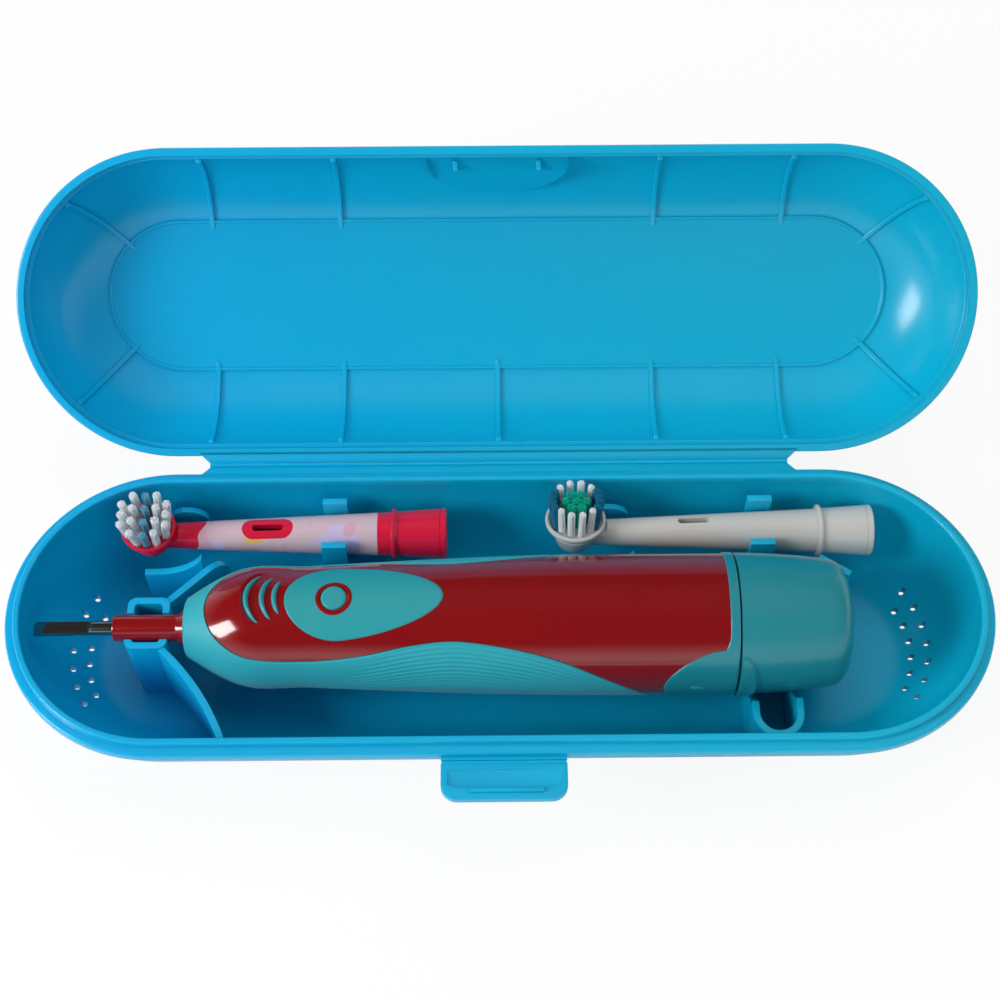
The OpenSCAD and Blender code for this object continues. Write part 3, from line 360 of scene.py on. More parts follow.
def bristleFinish(name, colour, tip, clear):  # nylon strands, their colour drifting in fine noise towards a second tint
    look = dict(colour=colour, drift=tip, roughness=0.3, grain=0.05, grainScale=2000, driftScale=500,
                glow=0.25, glowColour=(0.8, 0.9, 1.0), glowDepth=0.0008, clear=clear)
    return plasticFinish(name, look)


finish["bristleWhite"] = bristleFinish("bristleWhite", "f6fbfd", "edf5fa", 0)
finish["bristleBlue"] = bristleFinish("bristleBlue", "1a8fc0", "2fa5cf", 0.45)
finish["bristlePale"] = bristleFinish("bristlePale", "5fa6c6", "79b9d3", 0)
finish["bristleGreen"] = bristleFinish("bristleGreen", "06bf9f", "12cbab", 0.1)


def printFinish():  # pale lilac film with soft blotches in plain colours
    look = dict(colour="ceb1b8", drift="c8aebc", roughness=0.28, coat=0.3, grain=0.03, driftScale=120)
    material = plasticFinish("printLilac", look)
    tree, links = material.node_tree, material.node_tree.links
    shader = tree.nodes["Principled BSDF"]
    ground = shader.inputs["Base Color"].links[0].from_socket
    where = next(n for n in tree.nodes if n.type == "TEX_COORD")
    for tint, scale, limit in (("dcb25e", 95, 0.72), ("c3b2d4", 130, 0.66), ("cfa0b4", 170, 0.7)):
        blotch = addNode(tree, "TexNoise", {"Scale": scale, "Detail": 0})
        edge = addNode(tree, "MapRange", {"From Min": limit, "From Max": limit + 0.02})
        layer = addColourMix(tree, {7: tint})
        links.new(where.outputs["Object"], blotch.inputs["Vector"])
        links.new(blotch.outputs["Fac"], edge.inputs["Value"])
        links.new(edge.outputs["Result"], layer.inputs[0])
        links.new(ground, layer.inputs[6])
        ground = layer.outputs[2]
    links.new(ground, shader.inputs["Base Color"])
    return material


finish["printLilac"] = printFinish()
print("finishes made:", len(finish))


# the case

caseSizes = {
    "width": 78.5,
    "lipHeight": 2,  # locating lip above the parting plane
    "wall": 1.8,
    "drawIn": 18.4,  # flat floors stand this far inside the outline
    "baseBand": 3,
    "baseStep": 2.1,
    "baseBulge": 4,
    "lidHeight": 23.2,
    "lidBand": 4,
    "lidStep": 1.3,
    "lidBulge": 3.3,
    "lipThick": 1.7,
    "lipGap": 0.25,
    "seam": 0.2,
    "ribWide": 1.3,
    "ribHigh": 0.85,
    "ribPlaces": (-75, -41.2, 0, 41.2, 75),
    "hingeReach": 2.35,
    "hingeLength": 150,
    "flange": 1.2,
    "openAngle": 136,
    "ventSize": 1.6,
    "ventStep": 11.2,  # degrees between vents
    "ventReach": 27.4,
    "ventRow": 3.6,
    "webRoom": 0.38,  # from the fold to the flanges
}
tubLow, tubHigh = nodeBox("base_tub")
caseR = caseSizes["width"] / 2
rimZ = tubHigh.z - caseSizes["lipHeight"]
endX = (tubHigh.x - tubLow.x) / 2 - caseR
hingeY = caseR + caseSizes["hingeReach"]
wall = caseSizes["wall"]

baseFoot = (caseR - caseSizes["drawIn"], 0)
baseTop = (caseR - caseSizes["baseStep"], rimZ - caseSizes["baseBand"])
baseArc = arcCentre(baseFoot, baseTop, caseSizes["baseBulge"])
bowlOut, bowlIn = baseArc[2], baseArc[2] - wall
lidFoot = (caseR - caseSizes["drawIn"], caseSizes["lidHeight"])
lidArc = arcCentre(lidFoot, (caseR - caseSizes["lidStep"], caseSizes["lidBand"]), caseSizes["lidBulge"])
lidOut, lidIn = lidArc[2], lidArc[2] - wall
lipIn = arcX(baseArc, bowlIn, rimZ)
lipOut = lipIn + caseSizes["lipThick"]


latchSizes = {"width": 30, "length": 9.6, "thick": 2, "corner": 3.8, "frame": 1.6, "offset": 0.4}


def hingePlan(cut):  # flange outline from inside the rim to its free edge
    near, far, half = caseR - 1.2, hingeY - cut, caseSizes["hingeLength"] / 2
    corner = (half + far - near, near)
    return [(-corner[0], near), corner, (half, far), (-half, far)]


def makeBase():
    lipTop = rimZ + caseSizes["lipHeight"]
    outline = [(0, 0)] + arcPoints(baseArc, bowlOut, 0, baseTop[1], 22)
    outline += [(caseR, baseTop[1]), (caseR, rimZ), (lipOut, rimZ), (lipOut - 0.15, lipTop), (lipIn, lipTop)]
    outline += arcPoints(baseArc, bowlIn, rimZ, wall + 2, 24)
    outline += [(arcX(baseArc, bowlIn, wall), wall), (0, wall)]
    corners = {1: 1.6, 24: 0.5, 25: 0.7, 26: 0.15, 27: 0.45, 28: 0.45, 54: 7}
    shell = spinTray(roundOff(outline, corners), endX)
    vents = bmesh.new()
    for side in (0, 1):
        for row, count in ((0, 7), (1, 6)):
            for i in range(count):
                angle = math.radians(caseSizes["ventStep"] * (i - (count - 1) / 2) + 180 * side)
                reach = caseSizes["ventReach"] - caseSizes["ventRow"] * row
                spot = Vector((reach * math.cos(angle) + endX * (1 - 2 * side), reach * math.sin(angle), 8))
                bmesh.ops.create_cone(vents, cap_ends=True, segments=24, radius1=caseSizes["ventSize"] / 2,
                                      radius2=caseSizes["ventSize"] / 2, depth=20,
                                      matrix=Matrix.Translation(spot))
    shell = combined(shell, vents, "DIFFERENCE")
    low = rimZ - caseSizes["seam"] - caseSizes["flange"]
    flange = prism(hingePlan(caseSizes["webRoom"]), caseSizes["flange"])
    moved(flange, Matrix.Translation((0, 0, low)))
    softenEdges(flange, 0.2)
    left, right = (latchSizes["offset"] + side * latchSizes["width"] / 2 for side in (-1, 1))
    out, into = -caseR - 0.9, -caseR + 0.6
    ledge = prism([(left, out), (right, out), (right, into), (left, into)], 0.8)
    ledge = moved(ledge, Matrix.Translation((0, 0, rimZ - 2.6)))
    whole = joined(shell, flange, ledge)
    return makePiece("caseBase", whole, finish["caseBlue"], "base", "case_blue", ["base_tub"])


scoopSizes = {"radius": 16.3, "top": 17.2, "inset": 1.75, "stopAt": 10.5, "stopHigh": 4.6,
              "thick": 3.1}


def scoopBody(radius, inner):  # everything in front of the slanted pocket floor, inside a circle
    centreZ = scoopSizes["top"] - scoopSizes["radius"]
    foot = (caseR - caseSizes["lidStep"] - scoopSizes["inset"], caseSizes["lidBand"])
    head = (arcX(lidArc, lidOut, scoopSizes["top"]), scoopSizes["top"])
    lean = math.atan2(foot[0] - head[0], head[1] - foot[1])
    bm = bmesh.new()
    place = Matrix.Translation((0, -caseR, centreZ)) @ Matrix.Rotation(math.pi / 2, 4, "X")
    bmesh.ops.create_cone(bm, cap_ends=True, segments=128, radius1=radius, radius2=radius, depth=40,
                          matrix=place)
    low = foot[1] - (1.4 if inner else 0)
    floorNormal = Vector((0, math.cos(lean), -math.sin(lean)))
    for spot, normal in (((0, inner - foot[0], foot[1]), floorNormal), ((0, 0, low), (0, 0, -1))):
        bmesh.ops.bisect_plane(bm, geom=bm.verts[:] + bm.edges[:] + bm.faces[:], plane_co=spot,
                               plane_no=normal, clear_outer=True)
    bmesh.ops.holes_fill(bm, edges=[e for e in bm.edges if e.is_boundary], sides=0)
    bmesh.ops.recalc_face_normals(bm, faces=bm.faces)
    return bm


def lidRib():  # one rib's outline along the inner wall, drawn out sideways
    low = caseSizes["lipHeight"] + 1
    top = caseSizes["lidHeight"] - wall + 0.2
    outer = arcPoints(lidArc, lidIn + 0.4, low, top, 14)
    inner = arcPoints(lidArc, lidIn - caseSizes["ribHigh"], top, low, 14)
    rib = prism(outer + inner, caseSizes["ribWide"])
    softenEdges(rib, 0.3, 40, 3)
    turn = Matrix(((0, 0, 1, -caseSizes["ribWide"] / 2), (1, 0, 0, 0), (0, 1, 0, 0), (0, 0, 0, 1)))
    return moved(rib, turn)


def makeLid():
    top, band, seam = caseSizes["lidHeight"], caseSizes["lidBand"], caseSizes["seam"]
    recess = caseSizes["lipHeight"] + 0.4
    outline = [(0, top)] + arcPoints(lidArc, lidOut, top, band, 20)
    outline += [(caseR, band), (caseR, seam), (0, seam)]
    solid = spinTray(roundOff(outline, {1: 1.4, 22: 0.5, 23: 0.5}), endX)
    solid = combined(solid, scoopBody(scoopSizes["radius"], 0), "DIFFERENCE")
    roof = top - wall
    edge = arcX(lidArc, lidIn, roof)
    recessR = lipOut + caseSizes["lipGap"]
    hollow = [(0, -2), (recessR, -2), (recessR, recess), (arcX(lidArc, lidIn, recess), recess)]
    hollow += arcPoints(lidArc, lidIn, recess + 0.3, roof, 24)
    hollow += [(edge - 0.45, roof), (edge - 0.6, roof - 0.5), (edge - 1.25, roof - 0.5), (edge - 1.4, roof)]
    hollow.append((0, roof))
    count = len(hollow)
    corners = {2: 0.2, 3: 0.3, count - 6: 0.7, count - 4: 0.2, count - 3: 0.2, count - 2: 0.2}
    cavity = spinTray(roundOff(hollow, corners), endX)
    cavity = combined(cavity, scoopBody(scoopSizes["radius"] + wall, scoopSizes["thick"]), "DIFFERENCE")
    shell = combined(solid, cavity, "DIFFERENCE")
    parts = [shell]
    for x in caseSizes["ribPlaces"]:
        for side in (1, -1):
            if x or side == 1:
                flip, along = Matrix.Scale(side, 4, (0, 1, 0)), Matrix.Translation((x, 0, 0))
                parts.append(moved(lidRib(), flip, along))
    for end in (0, 180):
        for angle in (45, 135):
            spot = Matrix.Translation((-endX if end == 0 else endX, 0, 0))
            turn = Matrix.Rotation(math.radians(angle + end), 4, "Z")
            parts.append(moved(lidRib(), turn, spot))
    for x in (-scoopSizes["stopAt"], scoopSizes["stopAt"]):
        left, right, out, into = x - 0.6, x + 0.6, -lipIn - 0.2, -lipIn + 2.3
        stop = prism([(left, out), (right, out), (right, into), (left, into)], scoopSizes["stopHigh"])
        softenEdges(stop, 0.2)
        parts.append(moved(stop, Matrix.Translation((0, 0, recess + 0.1))))
    flange = prism(hingePlan(caseSizes["webRoom"]), caseSizes["flange"])
    moved(flange, Matrix.Translation((0, 0, seam)))
    softenEdges(flange, 0.2)
    parts.append(flange)
    for part in parts[1:]:
        bmesh.ops.recalc_face_normals(part, faces=part.faces)
    whole = joined(*parts)
    opened = Matrix.Rotation(math.radians(-caseSizes["openAngle"]), 4, "X")
    moved(whole, Matrix.Translation((0, -hingeY, 0)), opened, Matrix.Translation((0, hingeY, rimZ)))
    return makePiece("caseLid", whole, finish["caseBlue"], "lid", "case_blue", ["case_lid"])


def makeLatch():
    low, high = nodeBox("latch_flap")
    joints = frame["record"]["behaviour"]["joints"]
    pivot = Vector(next(j for j in joints if j["name"] == "latch_hinge")["pos_m"]) / mm
    half, near, far = latchSizes["width"] / 2, -0.25, -latchSizes["length"]
    outline = roundOff([(-half, near), (-half, far), (half, far), (half, near)],
                       {1: latchSizes["corner"], 2: latchSizes["corner"]}, 8)
    thick = latchSizes["thick"]
    plate = moved(prism(outline, thick), Matrix.Translation((0, 0, -thick / 2)))
    for v in plate.verts:  # the plate thins down to its fold
        v.co.z *= 0.36 + 0.64 * smoothStep(0.7, 1.8, -v.co.y)
    inner, hookY = half - latchSizes["frame"], -6.9
    smile = [(x, hookY + 0.9 - 1.3 * (1 - (x / inner) ** 2)) for x in spread(-inner, inner, 16)]
    pocket = prism([(-inner, near - 1.8)] + smile + [(inner, near - 1.8)], 2)
    plate = combined(plate, moved(pocket, Matrix.Translation((0, 0, thick / 2 - 0.6))), "DIFFERENCE")
    softenEdges(plate, 0.3, 30, 3)
    ridge = prism([(-8.2, hookY), (-8.2, hookY - 1.1), (9.4, hookY - 1.1), (9.4, hookY)], 1.2)
    softenEdges(ridge, 0.3, 30, 2)
    web = bmesh.new()  # the fold, as wide as the flap
    bmesh.ops.create_cone(web, cap_ends=True, segments=24, radius1=0.42, radius2=0.42, depth=2 * half - 0.4,
                          matrix=Matrix.Rotation(math.pi / 2, 4, "Y"))
    whole = joined(plate, moved(ridge, Matrix.Translation((0, 0, thick / 2 - 0.5))), web)
    moved(whole, Matrix.Translation(((low.x + high.x) / 2, pivot.y, pivot.z)))
    return makePiece("latchFlap", whole, finish["caseBlue"], "latch", "case_blue", ["latch_flap"])


def makeHolders():
    for node in ("neck_cradle", "tail_cradle", "small_head_rest", "plain_head_rest"):
        bm = softenEdges(copyOfNode(node), 0.45, 32, 3)
        makePiece(node.replace("_", "-"), bm, finish["caseBlue"], "base", "case_blue", [node])


makeBase()
makeLid()
makeLatch()
makeHolders()
print("case made")


# the handle

handleSizes = {
    "axisY": -3.4,
    "axisDrop": 4,  # axis below the rim plane
    "noseR": 7,
    "shoulderR": 15.1,
    "waistR": 14.9,
    "fullR": 17.5,
    "shoulderAt": 19.5,  # from the nose
    "waistAt": 30,
    "fullAt": 112.5,
    "tailDraw": 1.7,
    "wall": 2.3,
    "skin": 1.0,
    "proud": 0.12,
}
shellLow, shellHigh = nodeBox("handle_shell")
coverLow, coverHigh = nodeBox("battery_cover")
noseX, seamX, coverX, tailX = shellLow.x, shellHigh.x, coverLow.x, coverHigh.x
axisY, axisZ = handleSizes["axisY"], rimZ - handleSizes["axisDrop"]
edgeX = tailX - 3.6
buttonX = noseX + 37.7


def handleR(x):
    along = x - noseX
    shoulder, waist, full = (handleSizes[k] for k in ("shoulderAt", "waistAt", "fullAt"))
    noseR, shoulderR, waistR, fullR = (handleSizes[k] for k in ("noseR", "shoulderR", "waistR", "fullR"))
    if along < shoulder:
        return noseR + (shoulderR - noseR) * math.sin(math.pi / 2 * max(0, along) / shoulder)
    if along < waist:
        part = (1 - math.cos(math.pi * (along - shoulder) / (waist - shoulder))) / 2
        return shoulderR + (waistR - shoulderR) * part
    if along < full:
        return waistR + (fullR - waistR) * math.sin(math.pi / 2 * (along - waist) / (full - waist))
    return fullR - handleSizes["tailDraw"] * (max(0, x - coverX) / (edgeX - coverX)) ** 2


def onHandle(x, angle, lift):  # angle 0 faces the front of the case, 90 faces up
    r = handleR(x) + lift
    return Vector((x, axisY - r * math.cos(angle), axisZ + r * math.sin(angle)))


def onTop(x, y, lift):  # point of the handle's top side at plan position x, y from its axis
    r = handleR(x) + lift
    return Vector((x, axisY + y, axisZ + math.sqrt(max(0.01, r * r - y * y))))


def toAxis():
    return Matrix.Translation((0, axisY, axisZ))


waveShares = ((0.042, 0.61), (0.07, 0.535), (0.117, 0.46), (0.219, 0.4), (0.319, 0.5), (0.418, 0.66),
              (0.509, 0.72), (0.642, 0.6), (0.727, 0.37), (0.815, -0.09), (0.856, -0.5), (0.876, -1.02))
gripWave = [(noseX + along * (seamX - noseX), high * handleSizes["fullR"]) for along, high in waveShares]


def waveHeight(x):
    points = gripWave
    i = max(0, min(len(points) - 2, sum(1 for p in points if p[0] <= x) - 1))
    before, after = points[max(0, i - 1)], points[min(len(points) - 1, i + 2)]
    (x1, z1), (x2, z2) = points[i], points[i + 1]
    slope1 = (z2 - before[1]) / (x2 - before[0])
    slope2 = (after[1] - z1) / (after[0] - x1)
    t, w = (x - x1) / (x2 - x1), x2 - x1
    return ((2 * t ** 3 - 3 * t ** 2 + 1) * z1 + (t ** 3 - 2 * t ** 2 + t) * w * slope1
            + (3 * t ** 2 - 2 * t ** 3) * z2 + (t ** 3 - t ** 2) * w * slope2)


def waveAngle(x):
    if x <= gripWave[0][0]:
        return math.pi / 2
    return math.asin(max(-1, min(1, waveHeight(x) / handleR(x))))


thumbDip = {"centre": 24.6, "side": 1, "radius": 9.8, "depth": 0.85}  # shallow rest in front of the button


def dipDepth(x, y):
    dx, dy = x - (noseX + thumbDip["centre"]), y - thumbDip["side"]
    reach = math.hypot(dx, dy)
    edge = 1 - smoothStep(thumbDip["radius"] - 0.9, thumbDip["radius"], reach)
    return thumbDip["depth"] * edge * (1 - smoothStep(-6, 5, dx)) * (1 - smoothStep(5, 9.5, abs(dy)))


def wavePath():  # the edge of the soft grip, from the back of the handle round the nose to its front
    start, end = gripWave[0][0], gripWave[-1][0] - 0.3
    stations = [start + 10 * (i / 26) ** 2 for i in range(27)] + spread(start + 11.2, end, 90)
    front = [onHandle(x, waveAngle(x), 0) for x in stations]
    back = [Vector((p.x, 2 * axisY - p.y, p.z)) for p in front[:0:-1]]
    return back + front


def waveGroove(wide, deep):  # cutter for the fine line between the red and the teal
    path = wavePath()

    def place(column, row):
        spot = path[column]
        along = (path[min(column + 1, len(path) - 1)] - path[max(column - 1, 0)]).normalized()
        out = Vector((0, spot.y - axisY, spot.z - axisZ)).normalized()
        side = out.cross(along).normalized()
        across, up = ((-0.3, -deep), (wide, -deep), (wide, 0.4), (-0.3, 0.4), (-0.3, -deep))[row]
        return spot + side * across + out * up

    groove = sheetBy(place, len(path) - 1, 4)
    bmesh.ops.remove_doubles(groove, verts=groove.verts, dist=0.0005)
    bmesh.ops.holes_fill(groove, edges=[e for e in groove.edges if e.is_boundary], sides=0)
    bmesh.ops.recalc_face_normals(groove, faces=groove.faces)
    return groove


def makeHousing():
    start, skin = gripWave[0][0], handleSizes["skin"]
    stations = spread(start - 0.6, noseX + 27, 60) + spread(noseX + 28.5, seamX, 42)
    outline = [(noseX + 0.8, 3.4), (noseX + 0.8, handleR(noseX) - skin)]
    outline += [(x, handleR(x) - skin) for x in spread(noseX + 1.5, start - 0.7, 6)]
    outline += [(x, handleR(x) - 0.12) for x in stations]
    outline += [(x, handleR(x) - handleSizes["wall"]) for x in spread(seamX, noseX + 6, 16)]
    outline += [(noseX + 5, 3.4)]
    bm = spinRound(outline, "X", 160, closed=True)
    for v in bm.verts:
        if v.co.z > 4 and v.co.z ** 2 + v.co.y ** 2 > (handleR(v.co.x) - 0.5) ** 2:
            v.co.z -= dipDepth(v.co.x, v.co.y)
    moved(bm, toAxis())
    bm = combined(bm, waveGroove(0.24, 0.5), "DIFFERENCE", crossing=True)
    return makePiece("handleHousing", bm, finish["handleRed"], "toothbrush", "handle_red", ["handle_shell"])


gripRidges = {
    "pitch": 1.25,
    "height": 0.17,
    "reach": 12,
    "rowsEach": 6,
    "startTop": -31,
    "slant": 1.8,
    "end": 27,
}


def ridgeLift(x, arc):  # fine waves that run along the lower side of the grip
    start = gripRidges["startTop"] - gripRidges["slant"] * arc
    window = smoothStep(start, start + 9, x) * (1 - smoothStep(12, gripRidges["end"], x))
    wave = 0.5 - 0.5 * math.cos(math.tau * arc / gripRidges["pitch"])
    return handleSizes["proud"] - gripRidges["height"] * wave * window


def makeGrip():
    proud, skin = handleSizes["proud"], handleSizes["skin"]
    start, end = gripWave[0][0], gripWave[-1][0] - 0.3
    nose = [(noseX, 4.5), (noseX, handleR(noseX) - 0.6), (noseX + 0.12, handleR(noseX) - 0.25)]
    nose += [(x, handleR(x) + proud) for x in spread(noseX + 0.45, start, 16)]
    nose += [(x, handleR(x) - skin + 0.1) for x in spread(start, noseX + 1, 6)] + [(noseX + 1, 4.5)]
    cap = moved(spinRound(nose, "X", 192, closed=True), toAxis())

    stations = [start + 10 * (i / 26) ** 2 for i in range(27)] + spread(start + 11, end, 100)
    edgeRows = [(0, -0.5), (0.05, -0.12), (0.14, 0.04), (0.3, proud)]
    ridgeRows = int(gripRidges["reach"] / gripRidges["pitch"] * gripRidges["rowsEach"])
    arcs = [0.3 + gripRidges["reach"] * i / ridgeRows for i in range(1, ridgeRows + 1)]
    half, plain, inner = len(edgeRows) + len(arcs) + 16, 16, 40
    bottom = -math.pi / 2

    def outer(x, row):  # angle and lift of one row between the edge and the lowest line
        r, top = handleR(x), min(waveAngle(x), math.pi / 2 - 0.004)
        share = min(1, (top - bottom) * r / (arcs[-1] + 6))  # rows close up where the grip is narrow
        if row < len(edgeRows):
            arc, lift = edgeRows[row]
        elif row < len(edgeRows) + len(arcs):
            arc = arcs[row - len(edgeRows)]
            lift = ridgeLift(x, arc)
        else:
            left = (top - bottom) * r / share - arcs[-1]
            arc, lift = arcs[-1] + left * (row - len(edgeRows) - len(arcs) + 1) / plain, proud
        return max(bottom, top - arc * share / r), lift

    def place(column, row):
        x = stations[column]
        if row < half:
            angle, lift = outer(x, row)
        elif row < 2 * half - 1:
            angle, lift = outer(x, 2 * half - 2 - row)
            angle = -math.pi - angle
        elif row < 2 * half + inner:
            top = min(waveAngle(x), math.pi / 2 - 0.004)
            angle = -math.pi - top + (math.pi + 2 * top) * (row - 2 * half + 1) / inner
            lift = -skin
        else:
            angle, lift = outer(x, 0)
        return onHandle(x, angle, lift)

    sleeve = sheetBy(place, len(stations) - 1, 2 * half + inner)
    bmesh.ops.remove_doubles(sleeve, verts=sleeve.verts, dist=0.002)
    bmesh.ops.holes_fill(sleeve, edges=[e for e in sleeve.edges if e.is_boundary], sides=0)
    bmesh.ops.recalc_face_normals(sleeve, faces=sleeve.faces)
    return makePiece("softGrip", joined(cap, sleeve), finish["gripTeal"], "toothbrush", "grip_teal",
                     ["grip_sleeve"], 50)


eggSizes = {"back": 25.5, "front": 13, "half": 9.8, "offset": 1}
ringSizes = {"outer": 4.5, "inner": 3.28, "high": 0.32}


def eggPoint(angle):
    reach = eggSizes["back"] * max(0, math.cos(angle)) ** 1.25 if math.cos(angle) > 0 \
        else eggSizes["front"] * math.cos(angle)
    return Vector((buttonX + eggSizes["offset"] + reach, eggSizes["half"] * math.sin(angle)))


def makePanel():
    turns, rings = 128, 16
    edge = [(1, -0.5), (0.996, -0.1), (0.985, 0.06), (0.965, 0.13)]
    shares = [e[0] for e in edge] + spread(0.94, 0, rings)

    def place(column, row):
        angle = math.tau * column / turns
        hole = Vector((buttonX + 4.2 * math.cos(angle), 4.2 * math.sin(angle)))
        spot = hole.lerp(eggPoint(angle), shares[row])
        return onTop(spot.x, spot.y, edge[row][1] if row < len(edge) else 0.13)

    bm = sheetBy(place, turns, len(shares) - 1)
    thicken(bm, 0.7)
    return makePiece("switchPanel", bm, finish["panelTeal"], "toothbrush", "panel_teal",
                     ["switch_panel"], 50)


def ringSheet(profile, turns=96):  # rings round the button: [radius, height over the surface]
    def place(column, row):
        angle = math.tau * column / turns
        radius, lift = profile[row]
        return onTop(buttonX + radius * math.cos(angle), radius * math.sin(angle), lift)

    bm = sheetBy(place, turns, len(profile) - 1)
    bmesh.ops.remove_doubles(bm, verts=bm.verts, dist=0.002)
    bmesh.ops.recalc_face_normals(bm, faces=bm.faces)
    return bm


def makeButton():
    outer, inner, high = (ringSizes[k] for k in ("outer", "inner", "high"))
    middle = (outer + inner) / 2
    ring = [(outer, -1), (outer, 0.1), (outer - 0.12, high - 0.05), (middle + 0.2, high),
            (middle - 0.1, high - 0.03), (inner + 0.08, 0.05), (inner, -0.15), (inner, -1)]
    bm = ringSheet(ring + [ring[0]])
    makePiece("buttonRing", bm, finish["handleRed"], "toothbrush", "handle_red", ["button_ring"])
    low, high = nodeBox("power_button")
    r = (high.x - low.x) / 2
    dome = 0.16
    cap = [(low.z, 0), (low.z, r), (high.z - 0.55, r), (high.z - 0.3, r - 0.08), (high.z - dome, r - 0.3)]
    turns = spread(0.2, math.pi / 2, 8)
    cap += [(high.z - dome + dome * math.sin(a), (r - 0.35) * math.cos(a)) for a in turns]
    bm = spinRound(cap, "Z", 96)
    moved(bm, Matrix.Translation(((low.x + high.x) / 2, (low.y + high.y) / 2, 0)))
    return makePiece("powerButton", bm, finish["panelTeal"], "button", "panel_teal", ["power_button"])


ridgeSizes = {
    "radius": 8.4,
    "lefts": (16.2, 20.1, 23.1),
    "halfAngles": (52, 44, 33),
    "wide": 1.25,
    "high": 0.3,
}


def makeThumbRidges():
    parts = []
    for left, half in zip(ridgeSizes["lefts"], ridgeSizes["halfAngles"]):
        bm = bmesh.new()
        bmesh.ops.create_uvsphere(bm, u_segments=16, v_segments=32, radius=1)
        centreX = noseX + left + ridgeSizes["radius"]
        for v in bm.verts:
            along, across, up = v.co.z, v.co.x, v.co.y
            angle = math.pi + math.radians(half) * along
            reach = ridgeSizes["radius"] + across * ridgeSizes["wide"] / 2
            spot = Vector((centreX + reach * math.cos(angle), thumbDip["side"] + reach * math.sin(angle)))
            dip = dipDepth(spot.x, spot.y) + 0.12
            v.co = onTop(spot.x, spot.y, up * (0.6 if up < 0 else ridgeSizes["high"] + dip) - dip)
        bmesh.ops.recalc_face_normals(bm, faces=bm.faces)
        parts.append(bm)
    return makePiece("thumbRidges", joined(*parts), finish["panelTeal"], "toothbrush", "grip_teal")


collarSizes = {"length": 2.4, "leaf": 15.9, "leafHalf": 11.5, "markAt": 9.4}


def makeCollar():
    turns, steps, full = 192, 26, handleSizes["fullR"]
    ringLeft = seamX - collarSizes["length"]

    def leftEdge(angle):
        height = handleR(seamX) * math.sin(angle)
        if math.cos(angle) <= 0 or abs(height) > collarSizes["leafHalf"] + 3:
            return ringLeft
        inside = 1 - min(1, abs(height) / collarSizes["leafHalf"]) ** 2
        leafLeft = ringLeft + 0.5 - collarSizes["leaf"] * math.sqrt(inside)
        fillet = 1.6 * math.exp(-((abs(height) - collarSizes["leafHalf"]) / 1.3) ** 2)
        return min(ringLeft, leafLeft) - fillet * (0.6 if leafLeft > ringLeft - 1 else 0.3)

    edge = [(0, -0.5), (0.06, -0.12), (0.16, 0.06), (0.32, 0.14)]

    def place(column, row):
        angle = math.tau * column / turns
        left = leftEdge(angle)
        if row < len(edge):
            return onHandle(left + edge[row][0], angle, edge[row][1])
        t = (row - len(edge) + 1) / steps
        x = left + 0.32 + (seamX - 0.15 - left - 0.32) * min(1, t)
        last = row == len(edge) + steps
        return onHandle(seamX if last else x, angle, -0.02 if last else 0.14)

    bm = sheetBy(place, turns, len(edge) + steps)
    thicken(bm, 0.8)
    dot = bmesh.new()  # small round mark that the cover's ear lines up with
    bmesh.ops.create_uvsphere(dot, u_segments=24, v_segments=16, radius=1)
    for v in dot.verts:
        along, across, up = v.co.x, v.co.y, v.co.z
        angle = across * 0.75 * (1.15 - 0.35 * along) / full
        v.co = onHandle(seamX - collarSizes["markAt"] + 1.9 * along, angle, 0.14 + 0.38 * up)
    whole = joined(bm, dot)
    return makePiece("tailCollar", whole, finish["coverTeal"], "toothbrush", "panel_teal",
                     ["tail_collar"], 50)


coverSizes = {"wall": 1.7, "bend": 4.6, "earLong": 5, "earHalf": 10.6, "earRise": 0.85}


def makeCover():
    full, inner = handleSizes["fullR"], coverSizes["wall"]
    tailR = full - handleSizes["tailDraw"]
    outline = [(coverX, full - 2.6), (coverX, full - 0.3), (coverX + 0.25, full)]
    outline += [(x, handleR(x)) for x in spread(coverX + 0.9, edgeX - 1, 18)]
    bend, floor = coverSizes["bend"], edgeX + 1.6
    for a in spread(0.25, 1.45, 12):
        x = min(tailX, edgeX + 3.6 - bend * (1 - math.sin(a)))
        outline.append((x, tailR - bend + bend * math.cos(a)))
    outline += [(tailX, tailR - 5.2), (tailX, 2.2), (tailX - 0.35, 1.7), (tailX - 0.35, 0)]
    outline += [(floor, 0), (floor, tailR - 3.5)]
    outline += [(x, handleR(x) - inner) for x in spread(edgeX - 1, coverX + 1, 12)] + [(coverX, full - 1.9)]
    bm = spinRound(outline + [outline[0]], "X", 160)
    moved(bm, toAxis())
    columns, rows = 32, 40
    half = coverSizes["earHalf"]

    def place(column, row):
        height = half * math.sin(math.pi * (row / rows - 0.5))
        right = coverX + 0.2 + coverSizes["earLong"] * math.sqrt(max(0, 1 - (height / half) ** 2))
        x = coverX + 0.2 + (right - coverX - 0.2) * column / columns
        fall = min(1, (right - x) / 1.3)
        side = 1 - smoothStep(half - 1.2, half, abs(height))
        lift = coverSizes["earRise"] * math.sin(fall * math.pi / 2) * side - 0.12
        return onHandle(x, math.asin(height / full), lift - (0.3 if column == 0 else 0))

    ear = thicken(sheetBy(place, columns, rows), 0.5)
    whole = joined(bm, ear)
    return makePiece("batteryCover", whole, finish["coverTeal"], "cover", "cover_teal", ["battery_cover"])


shaftFlat = {"long": 14.7, "drop": 1.2, "slope": 1.1}


